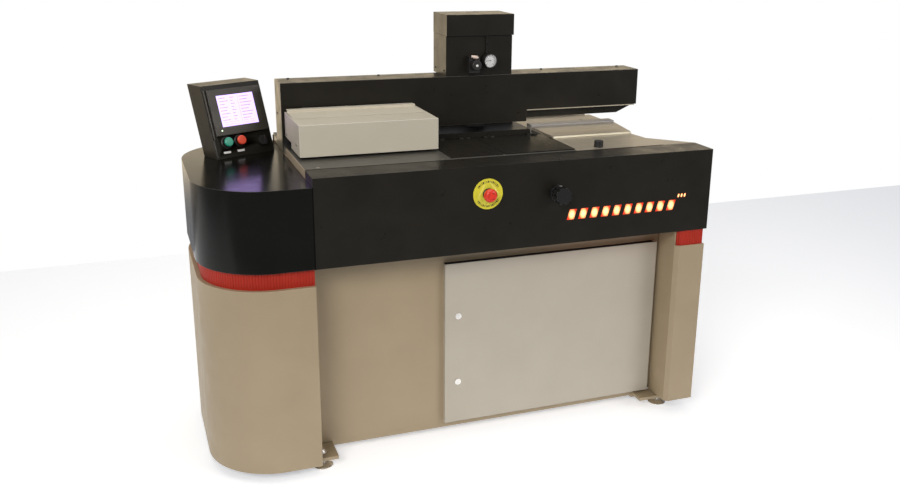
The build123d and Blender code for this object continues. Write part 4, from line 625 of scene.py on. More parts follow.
marks = bmesh.new()
for middle in (90, 270):
    for index in range(-7, 8):
        half_width = MARK_HALF_WIDTH * (0.5 if index % 3 else 1)
        bar = radial_bar(STOP, radians(middle + index * 8), MARK_REACH, half_width)
        add_prism(marks, bar, (-1.75, -1.45), "Y")
make_piece("stop_marks", marks, black_plastic, "frame", "black_plastic")
SLEEVE = ((7.6, 0), (16.5, 0), (17.2, -1), (17.2, -3), (16, -4), (15.6, -8.6), (14.8, -9.3), (7.6, -9.3),
          (7.6, 0))
turned_piece("stop_sleeve", SLEEVE, [(STOP[0], -1.5, STOP[1])], "Y", 48, black_plastic, "frame",
             "black_plastic")
grip_arrows = bmesh.new()
for index in range(3):
    start = index * 120
    outer = arc(STOP, ARROW_RADII[1], start, start + 62, 8)
    inner = arc(STOP, ARROW_RADII[0], start + 62, start, 8)
    add_prism(grip_arrows, outer + inner, ARROW_DEPTH, "Y")
    barbs = [arc(STOP, radius, start + 60, start + 60, 1)[0] for radius in BARB_RADII]
    tip = arc(STOP, sum(ARROW_RADII) / 2, start + 84, start + 84, 1)[0]
    add_prism(grip_arrows, (barbs[1], tip, barbs[0]), ARROW_DEPTH, "Y")
worn_red = varied_finish("worn_red", (0.42, 0.02, 0.01), (0.36, 0.016, 0.008), (0.35, 0.5), 500, 0.02)
white_print = varied_finish("white_print", (0.85, 0.84, 0.82), (0.75, 0.74, 0.72), (0.35, 0.5), 500, 0.02)
make_piece("stop_arrows", grip_arrows, worn_red, "stop_head", "red_plastic")


# Adjusting knob. Lobed grip of polished black plastic on a ringed collar, with
# a bright pointer; it turns a spindle through the fascia.
KNOB = (714, 793)
HUB_RING = ((22.8, -8), (23.6, -8.6), (23.8, -10), (23.8, -15), (23.0, -16.4), (21.5, -17.2), (21.5, -18.3),
            (24.4, -17.4), (24.9, -15.4), (24.9, -9.4), (24.4, -8), (22.8, -8))
polished_black = varied_finish("polished_black", (0.016, 0.016, 0.015), (0.010, 0.010, 0.010), (0.10, 0.2),
                               700, 0.05)
coat(["adjusting_knob"], polished_black, 1.6)
turned_piece("adjusting_hub_ring", HUB_RING, [(KNOB[0], 0, KNOB[1])], "Y", 48, polished_black,
             "adjusting_knob", "black_plastic")
pointer = ((KNOB[0] - 0.7, KNOB[0] + 0.7), (-15.2, -9.6), (KNOB[1] + 24.6, KNOB[1] + 25.15))
block_piece("adjusting_pointer", [pointer], zinc, "adjusting_knob", "black_plastic")


# Cabinet door. Shallow pressed steel door, a lighter coat than the casings,
# rubber seal inside, a pocket for papers and two quarter-turn locks.
DOOR_X = (405, 1124)
DOOR_Z = (48, 571)
door_paint = varied_finish("door_paint", (0.456, 0.412, 0.340), (0.430, 0.385, 0.315), (0.42, 0.55), 900,
                           0.25)
# Cool grey for the door's bevelled edges: painted shade in the reveals round the door.
door_shade_edge = varied_finish("door_shade_edge", (0.42, 0.42, 0.43), (0.36, 0.36, 0.37), (0.35, 0.5), 600, 0.1)
coat(["cabinet_door"], door_paint, 1.2, door_shade_edge)
coat(["lower_lock", "upper_lock"], chrome, 0.4)
rubber = varied_finish("rubber", (0.010, 0.011, 0.015), (0.007, 0.007, 0.010), (0.7, 0.85), 900, 0.2,
                       specular_ior_level=0.25)


def add_rim(shape, x, z, width, y):
    """Flat frame of four mitred strips."""
    outer = ((x[0], z[0]), (x[1], z[0]), (x[1], z[1]), (x[0], z[1]))
    inner = ((x[0] + width, z[0] + width), (x[1] - width, z[0] + width))
    inner += ((x[1] - width, z[1] - width), (x[0] + width, z[1] - width))
    for index in range(4):
        after = (index + 1) % 4
        add_prism(shape, (outer[index], outer[after], inner[after], inner[index]), y, "Y")


seal = bmesh.new()
add_rim(seal, (DOOR_X[0] + 3, DOOR_X[1] - 14), (DOOR_Z[0] + 3, DOOR_Z[1] - 3), 8, (104, 111.2))
# A dark rubber strip along the door's top edge: painted shadow in the gap above the door.
add_block(seal, (DOOR_X[0] + 1, DOOR_X[1] - 3), (96, 110.5), (DOOR_Z[1], DOOR_Z[1] + 1.4))
make_piece("door_seal_and_shade_strip", seal, rubber, "cabinet_door", "belt_rubber", 0.4)
POCKET_X = (600, 860)
POCKET_Y = (96.2, 108)
POCKET_Z = (200, 380)
POCKET_SHEET = 1.2
pocket_back = POCKET_Y[1] + POCKET_SHEET
pocket = [(POCKET_X, (POCKET_Y[1], pocket_back), POCKET_Z),
          (POCKET_X, (POCKET_Y[0], pocket_back), (POCKET_Z[0] - POCKET_SHEET, POCKET_Z[0]))]
for x in (POCKET_X[0], POCKET_X[1] - POCKET_SHEET):
    pocket.append(((x, x + POCKET_SHEET), POCKET_Y, POCKET_Z))
block_piece("paper_pocket", pocket, beige_paint, "cabinet_door", "beige_paint", 0.4)


# Electrical plate. Grey devices clipped to a steel plate behind the door, with
# slotted ducts between their rows, terminal screws and small lamps.
UNIT_FRONT = 549
UNIT_LEFT = 468
UNIT_PITCH = 112
UNIT_ROWS = (150, 350)
DUCT_X = (446, 1054)
DUCT_Y = (572, 609)
DUCT_ROWS = (98, 296, 496)
DUCT_SHEET = 2
unit_grey = varied_finish("unit_grey", (0.30, 0.31, 0.32), (0.24, 0.25, 0.26), (0.4, 0.55), 600, 0.1)
duct_grey = varied_finish("duct_grey", (0.46, 0.47, 0.48), (0.40, 0.41, 0.42), (0.45, 0.6), 500, 0.1)
blue_plastic = varied_finish("blue_plastic", (0.03, 0.10, 0.33), (0.02, 0.08, 0.27), (0.3, 0.45), 700, 0.05)
green_lens = varied_finish("green_lens", (0.05, 0.6, 0.2), (0.04, 0.5, 0.15), (0.15, 0.25), 400, 0.02,
                           emission_color=(0.1, 1.0, 0.35, 1), emission_strength=1.5)
coat(["control_units"], unit_grey, 1.2)
terminals, faces, lenses, ducts, terminal_screws = (bmesh.new() for _ in range(5))
for low in UNIT_ROWS:
    for index in range(5):
        left = UNIT_LEFT + UNIT_PITCH * index
        for band_low in (low + 4, low + 108):
            band_z = (band_low, band_low + 18)
            add_block(terminals, (left + 4, left + 80), (UNIT_FRONT - 8, UNIT_FRONT), band_z)
            places = [(left + 11 + 15.5 * step, UNIT_FRONT - 8, band_low + 9) for step in range(5)]
            add_screws(terminal_screws, places, "Y", -1, 0.9)
        add_block(faces, (left + 10, left + 74), (UNIT_FRONT - 3, UNIT_FRONT), (low + 34, low + 98))
        add_block(faces, (left + 34, left + 50), (UNIT_FRONT - 12, UNIT_FRONT - 3), (low + 52, low + 70))
        lens_place = (left + 62, UNIT_FRONT - 3, low + 88)
        add_turned(lenses, ((3, 0), (3, -2), (2, -3.4), (0, -4)), lens_place, "Y", 20)
for low in DUCT_ROWS:
    inside = (DUCT_Y[0] + 3, DUCT_Y[1])
    top = low + 34
    add_block(ducts, DUCT_X, (DUCT_Y[0], DUCT_Y[0] + 3), (low, top))
    add_block(ducts, DUCT_X, inside, (low, low + DUCT_SHEET))
    for left in range(DUCT_X[0], DUCT_X[1], 8):
        add_block(ducts, (left, left + 5), inside, (top - DUCT_SHEET, top))
make_piece("device_terminals", terminals, duct_grey, "frame", "black_plastic", 0.8)
make_piece("device_faces", faces, blue_plastic, "frame", "black_plastic", 1.0)
make_piece("device_lamps", lenses, green_lens, "frame", "green_plastic")
make_piece("cable_ducts", ducts, duct_grey, "frame", "black_plastic", 0.4)
make_piece("terminal_screws", terminal_screws, zinc, "frame", "chrome")


# Table. Dark coated infeed plate, painted black behind the track's front as
# painted shade under the beam, and a light satin steel delivery plate with a
# low rear lip. Countersunk screws hold both down on a thick bed.
TABLE_TOP = 887
TRACK_FRONT = 366
dark_table = varied_finish("dark_table", (0.085, 0.080, 0.068), (0.068, 0.064, 0.055), (0.36, 0.48),
                           800, 0.1, (1, 6, 1))
# Bright steel: the cutter inserts' own metal, and on the delivery plate's bevels a painted highlight along
# its edges.
bright_steel_and_highlight = varied_finish("bright_steel_and_highlight", (0.86, 0.80, 0.66), (0.74, 0.68, 0.56), (0.16, 0.3), 300, 0.05,
                           metallic=1)
light_steel = varied_finish("light_steel", (0.50, 0.44, 0.35), (0.43, 0.38, 0.30), (0.30, 0.46), 260, 0.06,
                            (1, 16, 1), metallic=0.55)
bed_steel = varied_finish("bed_steel", (0.30, 0.29, 0.27), (0.22, 0.21, 0.20), (0.3, 0.45), 300, 0.1,
                          (1, 8, 1), metallic=0.8)
coat(["infeed_table"], dark_table, 0.9)
# The infeed plate turns black behind the track's front: painted shade under the beam.
table_tree = dark_table.node_tree
depth, shade_behind_track, spot, tones = add_nodes(
    table_tree, "ShaderNodeSeparateXYZ", "ShaderNodeMath", "ShaderNodeTexCoord", "ShaderNodeMixRGB")
shade_behind_track.operation = "GREATER_THAN"
shade_behind_track.inputs[1].default_value = (TRACK_FRONT - MACHINE_MIDDLE[1]) * MM
tones.inputs[2].default_value = (0.006, 0.006, 0.006, 1)
table_shader = table_tree.nodes["Principled BSDF"]
plain_tone = table_shader.inputs["Base Color"].links[0].from_socket
join_sockets(
    table_tree,
    (spot.outputs["Object"], depth.inputs[0]),
    (depth.outputs["Y"], shade_behind_track.inputs[0]),
    (shade_behind_track.outputs[0], tones.inputs[0]),
    (plain_tone, tones.inputs[1]),
    (tones.outputs[0], table_shader.inputs["Base Color"]),
)
coat(["delivery_table"], light_steel, 0.9, bright_steel_and_highlight)
coat(["bed_plate"], bed_steel, 0.8)
rear_lip = ((829.5, 1127), (646.8, 649.6), (TABLE_TOP - 2, TABLE_TOP + 4))
block_piece("table_rear_lip", [rear_lip], light_steel, "frame", "table_steel", 0.5)
COUNTERSUNK = ((0, -1.2), (2.0, -1.2), (2.2, 0.12), (4.6, 0.12), (5.0, -0.1))
infeed_screws = ((40, 120), (405, 120), (40, 620), (300, 620), (600, 620), (800, 620))
delivery_screws = ((850, 130), (1160, 130), (1090, 250), (860, 250), (860, 620), (1120, 620), (1120, 540))
table_places = [(x, y, TABLE_TOP) for x, y in infeed_screws + delivery_screws]
turned_piece("table_screws", COUNTERSUNK, table_places, "Z", 24, zinc, "frame", "chrome")
coat(["table_knob"], black_plastic, 0.8)
# A lighter grey cap on the black knob's top: a painted highlight where light falls on it.
highlight_cap_grey = varied_finish("highlight_cap_grey", (0.045, 0.044, 0.042), (0.035, 0.034, 0.032), (0.3, 0.4), 500, 0.05)
KNOB_CAP = ((0, 0.5), (6, 0.4), (11.2, 0.1), (11.6, -0.4), (0, -0.4))
turned_piece("table_knob_cap", KNOB_CAP, [(917, 135, TABLE_TOP + 20.3)], "Z", 40, highlight_cap_grey, "table_knob",
             "black_plastic")


# Seams. A near-black strip with almost no gloss fills the gaps between the fascia,
# the housing and the table: painted shadow in the seams. A beige strip trims the
# table's left end above the housing, in the lighter beige that paints a highlight there.
FASCIA_BOTTOM = BAND[1]
HOUSING_TOP = 862
seam_shadow_black = varied_finish("seam_shadow_black", (0.004, 0.004, 0.004), (0.002, 0.002, 0.002), (0.8, 0.95),
                            900, 0.1, specular_ior_level=0.05)
shadow_seams = [((-1.5, 1.5), (-0.5, 4), (FASCIA_BOTTOM + 0.1, HOUSING_TOP - 0.5)),
         ((3, 1128), (99.4, 102.4), (TABLE_TOP - 1, TABLE_TOP + 0.4))]
block_piece("seam_shadow_strips", shadow_seams, seam_shadow_black, "frame", "belt_rubber", 0.2)
trim = ((0.6, 3), (110, 402), (HOUSING_TOP + 0.2, TABLE_TOP - 1.5))
block_piece("end_trim", [trim], beige_highlight, "frame", "beige_paint", 0.6)


# Hinged covers. Two black lid plates over the milling head and the glue tank,
# stiffened by ribs underneath, turning on knuckles behind the raised guide bar.
coat(["milling_cover", "glue_cover"], black_paint, 0.7, black_highlight_and_trim)
coat(["guide_bar"], black_paint, 0.8, black_highlight_and_trim)
hinge_screws = bmesh.new()
for centre in (470, 557, 639, 789):
    add_screws(hinge_screws, [(centre, TRACK_FRONT, TABLE_TOP + z) for z in (7, 15)], "Y", 1, 0.8)
make_piece("hinge_screws", hinge_screws, zinc, "frame", "chrome")
RIB_Z = (TABLE_TOP - 2.1, TABLE_TOP + 0.3)
for body, span in (("milling_cover", (430, 597)), ("glue_cover", (599, 829))):
    middle = sum(span) / 2
    ribs = [((x - 1.5, x + 1.5), (150, 330), RIB_Z) for x in (middle - 52, middle + 52)]
    block_piece(body + "_ribs", ribs, black_paint, body, "black_paint", 0.5)


# Nipping station. A sliding front plate presses the glued spine against a fixed
# bar, over a base that rises between them; air cylinders move both.
ALONG_Y = (1, 14, 1)
nip_steel = varied_finish("nip_steel", (0.42, 0.37, 0.30), (0.36, 0.32, 0.26), (0.28, 0.42), 260, 0.06,
                          ALONG_Y, metallic=0.5)
bar_steel = varied_finish("bar_steel", (0.46, 0.425, 0.375), (0.40, 0.37, 0.325), (0.38, 0.5), 260, 0.04,
                          ALONG_Y, metallic=0.3)
# Blue-grey for the rear nip bar's bevelled edges: painted cool shade along them.
bar_shade_edge = varied_finish("bar_shade_edge", (0.40, 0.41, 0.46), (0.33, 0.34, 0.39), (0.35, 0.45), 260, 0.02,
                         metallic=0.3)
machined = varied_finish("machined_steel", (0.62, 0.61, 0.59), (0.48, 0.47, 0.46), (0.18, 0.32), 420, 0.05,
                         (1, 10, 1), metallic=1)
aluminium = varied_finish("aluminium", (0.72, 0.72, 0.71), (0.60, 0.60, 0.60), (0.28, 0.42), 500, 0.05,
                          (1, 1, 6), metallic=1)
coat(["nip_plate"], nip_steel, 0.5)
coat(["rear_nip_bar"], bar_steel, 0.8, bar_shade_edge)
# A cream strip along the nip plate's front edge: a painted highlight where that step catches the light.
cream = varied_finish("highlight_cream", (0.95, 0.90, 0.72), (0.82, 0.76, 0.58), (0.3, 0.4), 300, 0.02)
plate_edge = ((836, 1117), (289.3, 290.2), (TABLE_TOP + 0.6, TABLE_TOP + 6.6))
block_piece("nip_plate_highlight_edge", [plate_edge], cream, "nip_plate", "table_steel", 0.3)
coat(["nip_base"], machined, 0.6)
coat(["nip_cylinders"], aluminium, 1.2)
SUNK_HEAD = ((0, -1.4), (2.2, -1.4), (2.5, -0.3), (4.3, -0.3), (4.7, -0.8), (4.7, -2.9))
plate_places = [(x, y, TABLE_TOP + 6.4) for x, y in ((870, 436), (1083, 441))]
turned_piece("nip_plate_screws", SUNK_HEAD, plate_places, "Z", 24, zinc, "nip_plate", "chrome")
bar_places = [(x, 484, TABLE_TOP + 12) for x in (862, 990, 1118)]
turned_piece("nip_bar_screws", COUNTERSUNK, bar_places, "Z", 24, zinc, "frame", "chrome")


# Milling head. Motor with cooling rings under the bed, and the belt's motor of
# the same kind; the cutter has eight clamped inserts that rough the spine.
MILL = (515, 412)
BELT_MOTOR = (75, 481)
cast_metal = varied_finish("cast_metal", (0.30, 0.32, 0.33), (0.24, 0.26, 0.27), (0.4, 0.55), 350, 0.3)
coat(["milling_motor", "belt_motor", "roller_drive"], cast_metal, 1.5)
coat(["milling_cutter"], machined, 0.4)
WIDE_RING = ((64.6, 0), (69, 1), (69, 3), (64.6, 4))
SMALL_RING = ((27.6, 0), (31, 1), (31, 3.5), (27.6, 4.5))
rings = bmesh.new()
for step in range(11):
    add_turned(rings, WIDE_RING, (*MILL, 652 + 16 * step), steps=64)
for step in range(7):
    add_turned(rings, SMALL_RING, (*BELT_MOTOR, 716 + 18 * step), steps=48)
make_piece("motor_rings", rings, cast_metal, "frame", "cast_metal", 0.4)
inserts = bmesh.new()
for index in range(8):
    degrees = 45 * index + 22.5
    centre = (MILL[0] + 29 * cos(radians(degrees)), MILL[1] + 29 * sin(radians(degrees)))
    outline = arc(centre, 5, degrees + 45, degrees + 315, 3)
    add_prism(inserts, outline, (TABLE_TOP - 0.6, TABLE_TOP + 2.2))
make_piece("cutter_inserts", inserts, bright_steel_and_highlight, "milling_cutter", "machined_steel", 0.3)
ARBOR_NUT = ((0, 3.2), (4, 3.2), (4.4, 5.4), (9, 5.4), (10, 4.4), (10, 0))
turned_piece("arbor_nut", ARBOR_NUT, [(*MILL, TABLE_TOP + 1)], "Z", 6, zinc, "milling_cutter",
             "machined_steel", 0.3)


# Glue tank. Cast trough with two steel rollers that carry the hot glue, a
# doctor blade and a glossy pool of amber glue.
coat(["glue_tank"], cast_metal, 1.2)
coat(["glue_roller_one", "glue_roller_two", "doctor_blade"], machined, 0.5)
POOL_MIDDLE = (715, 279, 846)
POOL_REACH = (88.5, 90.5, 1, 1)
POOL_DEPTH = 28
glue = varied_finish("glue", (0.62, 0.40, 0.13), (0.50, 0.30, 0.08), (0.05, 0.12), 60, 0.6,
                     coat_weight=0.8, coat_roughness=0.05)
pool = bmesh.new()
bmesh.ops.create_grid(pool, x_segments=24, y_segments=28, size=1)
pool.transform(Matrix.Translation(POOL_MIDDLE) @ Matrix.Diagonal(POOL_REACH))
for vert in pool.verts:
    vert.co.z += 0.7 * sin(vert.co.x / 17) * sin(vert.co.y / 23)
skin = bmesh.ops.extrude_face_region(pool, geom=list(pool.faces))
for item in skin["geom"]:
    if isinstance(item, bmesh.types.BMVert):
        item.co.z -= POOL_DEPTH
make_piece("glue_pool", pool, glue, "frame", "amber_light")
drive_screws = bmesh.new()
add_screws(drive_screws, [(x, 158, z) for x in (650, 798) for z in (783, 862)], "Y", -1)
make_piece("drive_screws", drive_screws, zinc, "frame", "chrome")


# Beam. Black folded cover over a steel beam with its rail, a toothed belt and
# two pulleys; the cover is screwed on from the top and the ends. A folded black
# guard behind the track closes the view under the beam: a dark sheet placed as painted shade.
BEAM_TOP = 1074
BEAM_RIGHT = 1225
BEAM_BACK = 558
POST_BACK = 600
PULLEY_X = (75, 1180)
BELT_PITCH = 10
BELT_Z = (977.5, 992.5)
TOOTH_Y = ((463, 465.6), (496.4, 499))
dark_steel = varied_finish("dark_steel", (0.10, 0.10, 0.10), (0.07, 0.07, 0.07), (0.35, 0.5), 500, 0.1,
                           metallic=0.3)
# Lighter tan for the beam cover's bevelled edges: a painted highlight along them.
beam_highlight_edge = varied_finish("beam_highlight_edge", (0.10, 0.092, 0.075), (0.05, 0.046, 0.038), (0.25, 0.36), 400, 0.04)
coat(["beam_cover"], black_paint, 1.1, beam_highlight_edge)
# A light tan strip under the front edge of the beam's right part: a painted highlight where that edge
# catches the light.
tan_highlight_strip = varied_finish("tan_highlight_strip", (0.50, 0.44, 0.33), (0.42, 0.37, 0.28), (0.35, 0.5), 400, 0.05)
flange = ((813.5, 1218), (454.5, 457.4), (950.8, 954))
block_piece("beam_highlight_flange", [flange], tan_highlight_strip, "frame", "black_paint", 0.4)
coat(["beam_frame"], dark_steel, 1.0)
coat(["drive_pulley", "idler_pulley"], machined, 0.4)
coat(["drive_belt"], rubber, 0)
beam_screws = bmesh.new()
add_screws(beam_screws, [(x, 545, BEAM_TOP) for x in (40, 330, 900, 1190)], "Z")
add_screws(beam_screws, [(BEAM_RIGHT, y, z) for y in (470, 540) for z in (975, 1055)], "X")
add_screws(beam_screws, [(x, BEAM_BACK, 1030) for x in (150, 440, 860, 1150)], "Y")
make_piece("beam_screws", beam_screws, black_highlight_and_trim, "frame", "black_paint")
# Black sheet behind the beam, closing the view through to the room: painted shade.
GUARD_X = (14, 827)
guard = [(GUARD_X, (606, 607.5), (TABLE_TOP, 930)), (GUARD_X, (607.5, 620), (TABLE_TOP, TABLE_TOP + 1.5))]
block_piece("rear_shade_guard", guard, black_paint, "frame", "black_paint", 0.5)
teeth_x = range(PULLEY_X[0] + 5, PULLEY_X[1], BELT_PITCH)
teeth = [((x - 2, x + 2), y, BELT_Z) for x in teeth_x for y in TOOTH_Y]
block_piece("belt_teeth", teeth, rubber, "frame", "belt_rubber")
post_bolts = bmesh.new()
bolt_places = [(x, POST_BACK, z) for x in (45, 75, 655, 685) for z in (905, 925, 1040)]
add_screws(post_bolts, bolt_places, "Y", 1, 1.5)
make_piece("post_bolts", post_bolts, zinc, "frame", "chrome")


# Clamp carriage. Light grey hood over the clamp, two machined jaws, three air
# cylinders and the dark frame that runs on the rail.
HOOD_X = (9, 424)
hood_paint = varied_finish("hood_paint", (0.567, 0.520, 0.420), (0.535, 0.490, 0.395), (0.4, 0.52), 900,
                           0.2)
# Lighter grey for the hood's bevelled edges: a painted highlight along them.
hood_highlight_edge = varied_finish("hood_highlight_edge", (0.66, 0.62, 0.54), (0.6, 0.56, 0.49), (0.35, 0.5), 600, 0.1)
coat(["carriage_hood"], hood_paint, 1.6, hood_highlight_edge)
coat(["carriage_frame"], dark_steel, 1.0)
coat(["clamp_cylinders"], aluminium, 1.2)
coat(["front_jaw", "rear_jaw"], machined, 0.7)
hood_screws = bmesh.new()
add_screws(hood_screws, [(HOOD_X[0], y, 925) for y in (260, 420)], "X", -1)
add_screws(hood_screws, [(HOOD_X[1], y, 925) for y in (260, 420)], "X")
make_piece("hood_screws", hood_screws, zinc, "carriage", "chrome")
brass = varied_finish("brass", (0.70, 0.52, 0.22), (0.58, 0.42, 0.17), (0.2, 0.35), 500, 0.03, metallic=1)
FITTING = ((0, 0), (4, 0), (4, 3), (6, 3), (6, 8), (4.6, 9), (4.6, 14), (3, 14), (3, 8), (0, 8))
low_fitting = [(radius, height * 0.65) for radius, height in FITTING]
clamp_places = [(x, y, 975) for x in (103.5, 233.5, 363.5) for y in (258, 298)]
turned_piece("clamp_fittings", low_fitting, clamp_places, "Z", 24, brass, "carriage", "aluminium", 0.3)
jaw_cap = bmesh.new()
cap_line = ((322, 988.3), (322, 988.6), (358, 991.8), (414.4, 991.8), (414.4, 999), (433.7, 999),
            (433.7, 998.2), (415.2, 998.2), (415.2, 991), (357, 991), (330, 988.3))
add_prism(jaw_cap, cap_line, (11, 411.5), "X")
make_piece("front_jaw_cap", jaw_cap, hood_paint, "front_jaw", "grey_paint", 0.3)
pads = [((x, x + 8), (433.9, 434.35), (898, 985)) for x in range(58, 408, 10)]
block_piece("jaw_pads", pads, rubber, "front_jaw", "belt_rubber")


# Tower. Black sheet box with a deep hinged lid, clad on its front and right;
# air valves stand inside, the pressure regulator and its gauge on the front.
TOWER_X = (529.5, 755.6)
TOWER_FRONT = 459.2
TOWER_BACK = 587
LID_JOINT = 1199.4
VALVE_TOP = 1160.5
VALVES_X = range(576, 705, 32)
REGULATOR = (618, 1111)
GAUGE = (672, 1122)
PORT_MIDDLE = (617, 429.5, 1136)
PIPE_FOOT = (666, 454, 1145)
coat(["tower_body", "tower_lid"], black_paint, 1.2, black_highlight_and_trim)
coat(["valve_block"], aluminium, 1.0)
coat(["regulator_body", "regulator_knob", "gauge_case"], black_plastic, 0.8)
side_sheet = bmesh.new()
sheet_line = ((529.6, TOWER_FRONT), (TOWER_X[1], TOWER_FRONT), (TOWER_X[1], TOWER_BACK),
              (750.2, TOWER_BACK), (750.2, 460), (529.6, 460))
add_prism(side_sheet, sheet_line, (BEAM_TOP + 0.2, LID_JOINT))
make_piece("tower_side_sheet", side_sheet, black_paint, "frame", "black_paint", 0.5)
tower_screws = bmesh.new()
for x, side in zip(TOWER_X, (-1, 1)):
    add_screws(tower_screws, [(x, y, BEAM_TOP + 16) for y in (480, 567)], "X", side, 0.8)
add_screws(tower_screws, [(x, TOWER_BACK, BEAM_TOP + 16) for x in (550, 730)], "Y", 1, 0.8)
make_piece("tower_screws", tower_screws, black_highlight_and_trim, "frame", "black_paint")
coils = [((x - 10, x + 10), (488, 501.8), (1116, 1150)) for x in VALVES_X]
block_piece("valve_coils", coils, black_plastic, "frame", "black_plastic", 1.0)
VALVE_BUTTON = ((6, 0), (6, 4), (4.5, 5.5), (0, 5.5))
button_places = [(x, 520, VALVE_TOP) for x in VALVES_X]
turned_piece("valve_buttons", VALVE_BUTTON, button_places, "Z", 24, blue_plastic, "frame",
             "black_plastic", 0.3)
fitting_places = [(x, 543, VALVE_TOP) for x in VALVES_X]
turned_piece("valve_fittings", FITTING, fitting_places, "Z", 24, brass, "frame", "aluminium", 0.3)

needle_black = varied_finish("needle_black", (0.05, 0.05, 0.05), (0.03, 0.03, 0.03), (0.3, 0.4), 300, 0.02)
coat(["gauge_needle"], needle_black, 0)
dial_white = varied_finish("dial_white", (0.84, 0.83, 0.83), (0.78, 0.77, 0.77), (0.4, 0.5), 300, 0.01)
DIAL = ((1.4, 0), (20.8, 0), (20.8, -0.5), (20.2, -0.8), (1.4, -0.8), (1.4, 0))
turned_piece("gauge_dial", DIAL, [(GAUGE[0], 439, GAUGE[1])], "Y", 64, dial_white, "frame",
             "black_plastic")
ticks = bmesh.new()
for index in range(25):
    near, half_width = (14.5, 0.3) if index % 4 else (12.5, 0.55)
    bar = radial_bar(GAUGE, radians(225 - 11.25 * index), (near, 18.5), half_width)
    add_prism(ticks, bar, (438.05, 438.3), "Y")
make_piece("gauge_ticks", ticks, black_plastic, "frame", "black_plastic")
BEZEL = ((20.6, 1.5), (20.6, 0.2), (21.6, 0), (22.9, 0.2), (22.95, 2.5), (23.0, 3), (22.9, 3.4),
         (20.6, 1.5))
turned_piece("gauge_bezel", BEZEL, [(GAUGE[0], 432, GAUGE[1])], "Y", 64, black_highlight_and_trim, "frame",
             "black_plastic")
glass = varied_finish("gauge_glass", (0.9, 0.92, 0.92), (0.85, 0.87, 0.87), (0.02, 0.08), 200, 0.005,
                      alpha=0.10)
PANE = ((0, -0.6), (12, -0.3), (20.5, 0.2), (20.5, 1.0), (12, 0.6), (0, 0.3))
turned_piece("gauge_glass", PANE, [(GAUGE[0], 433.2, GAUGE[1])], "Y", 64, glass, "frame", "black_plastic")
pale_plastic = varied_finish("fitting_plastic", (0.86, 0.70, 0.60), (0.72, 0.56, 0.48), (0.3, 0.45), 500,
                             0.05)
PORT = ((0, -12.5), (3.2, -12.2), (4.4, -10.8), (4.6, -4), (5.4, -3), (5.4, 6), (4.2, 8.5), (2.2, 11.5),
        (0, 12))
port = bmesh.new()
add_turned(port, PORT, (0, 0, 0), "X", 32)
port.transform(Matrix.Translation(PORT_MIDDLE) @ turn(12, "Y"))
make_piece("regulator_port", port, pale_plastic, "frame", "black_plastic")
PLUG = ((0, 0.3), (4, 0.3), (4, -0.6), (3.2, -1.2), (0, -1.5))
plug_place = (REGULATOR[0], 411.7, REGULATOR[1])
turned_piece("regulator_plug", PLUG, [plug_place], "Y", 32, white_print, "regulator_knob", "black_plastic")
GRIP_BAR = ((0, 0), (1.2, 0.4), (1.2, 15.5), (0, 16))
grip_places = [(x, 415.5, z) for x, z in arc(REGULATOR, 16, 0, 342, 19)]
turned_piece("regulator_grip", GRIP_BAR, grip_places, "Y", 8, black_plastic, "regulator_knob",
             "black_plastic")
PIPE = ((0, 0), (3.6, 0), (3.6, 5), (1.6, 6.5), (1.6, 48), (3.2, 49.5), (3.2, 54), (0, 54))
turned_piece("gauge_pipe", PIPE, [PIPE_FOOT], "Z", 24, black_highlight_and_trim, "frame", "black_plastic", 0.2)


# Console. A leaning black steel case turned towards the operator, with a lit
# screen in its bezel, a green and a red button and a mode knob.
CONSOLE_YAW = 26
SCREEN_TOP = 5.5
LINE_DEPTH = (SCREEN_TOP, SCREEN_TOP + 0.12)
CONSOLE_CORNER = (-200.8, 409, HOUSING_TOP)
FACE_RISE = (0, 70, 209)
console_turn = Matrix.Translation(CONSOLE_CORNER) @ turn(CONSOLE_YAW, "Z")
lean = Vector(FACE_RISE).normalized()
face_axes = Matrix((Vector((1, 0, 0)), lean, Vector((1, 0, 0)).cross(lean))).transposed().to_4x4()
FACE = console_turn @ face_axes
coat(["console_case"], black_paint, 1.4, black_highlight_and_trim)
bezel_paint = varied_finish("bezel_paint", (0.050, 0.044, 0.033), (0.040, 0.035, 0.026), (0.35, 0.48),
                            1000, 0.1)
coat(["operator_panel"], bezel_paint, 0.5, black_highlight_and_trim)
screen_light = varied_finish("screen_light", (0.05, 0.045, 0.06), (0.045, 0.04, 0.055), (0.1, 0.2), 200,
                             0.01, emission_color=(0.6, 0.43, 1.0, 1), emission_strength=2.0)
screen_line = varied_finish("screen_line", (0.30, 0.26, 0.38), (0.26, 0.22, 0.34), (0.1, 0.2), 200, 0.01,
                            emission_color=(0.62, 0.55, 0.78, 1), emission_strength=0.35)
screen = ((41.4, 167.6), (92.4, 186.6), (SCREEN_TOP - 0.6, SCREEN_TOP))
block_piece("screen", [screen], screen_light, "frame", "black_paint", 0.2, FACE)
lines = []
for row in range(8):
    v = 178 - 9.5 * row
    for left, lengths in ((47, (22, 30, 18, 26)), (86, (14, 9)), (118, (34, 26, 40))):
        right = left + lengths[row % len(lengths)]
        lines.append(((left, right), (v - 1, v + 1), LINE_DEPTH))
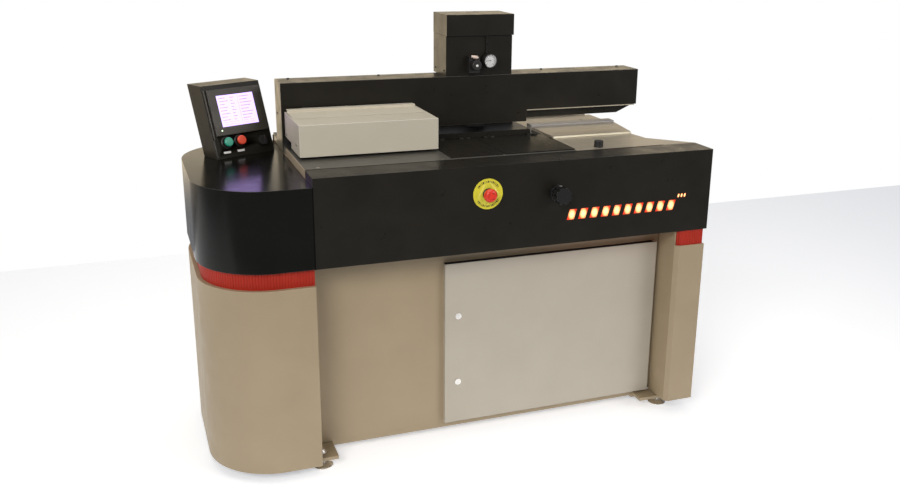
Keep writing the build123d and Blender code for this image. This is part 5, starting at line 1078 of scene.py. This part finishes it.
lines.append(((112, 112.6), (97, 183), LINE_DEPTH))
for left in (47, 66, 85, 118, 140):
    for low in (97.4, 104.4):
        lines.append(((left, left + 15), (low, low + 0.8), LINE_DEPTH))
block_piece("screen_lines", lines, screen_line, "frame", "black_paint", 0, FACE)
ridge = [((3, 8.5), (62, 207), (0, 4)), ((3, 8.5), (58, 62), (0, 3))]
block_piece("console_ridge", ridge, bezel_paint, "frame", "black_paint", 1.2, FACE)
status_light = varied_finish("status_light", (0.7, 0.95, 0.6), (0.6, 0.9, 0.5), (0.1, 0.2), 200, 0.01,
                             emission_color=(0.75, 1.0, 0.6, 1), emission_strength=2.5)
LAMP = ((0, 1.2), (1.4, 0.9), (2, 0), (2, -0.5), (0, -0.5))
turned_piece("status_lamp", LAMP, [(35.5, 82, 6)], "Z", 24, status_light, "frame", "green_plastic", 0, FACE)
tabs = [((u - 12, u + 12), (v - 3.2, v + 3.2), (0, 0.8)) for u, v in ((38.7, 16.8), (86.3, 16.3))]
block_piece("blank_tabs", tabs, white_print, "frame", "black_paint", 0.3, FACE)
green_plastic = varied_finish("green_plastic", (0.03, 0.36, 0.24), (0.025, 0.30, 0.20), (0.22, 0.32), 600,
                              0.04, coat_weight=0.3, coat_roughness=0.12)
stop_plastic = varied_finish("orange_red_plastic", (0.86, 0.085, 0.035), (0.78, 0.07, 0.03), (0.22, 0.32),
                             600, 0.04, coat_weight=0.3, coat_roughness=0.12)
coat(["start_button"], green_plastic, 0.8)
coat(["stop_button"], stop_plastic, 0.8)
coat(["mode_knob"], black_plastic, 0.9)
mode_mark = ((165.7, 167.3), (38, 49), (18.2, 18.5))
block_piece("mode_mark", [mode_mark], bezel_paint, "mode_knob", "black_plastic", 0, FACE)
COLLAR = ((14.2, 0), (19, 0), (19, 1.2), (17.6, 2.6), (16.1, 3.2), (16.1, 0.4), (14.2, 0))
collar_places = [(u, 46, 0) for u in (44.5, 89.5)]
turned_piece("button_bezels", COLLAR, collar_places, "Z", 48, black_plastic, "frame", "black_plastic", 0,
             FACE)
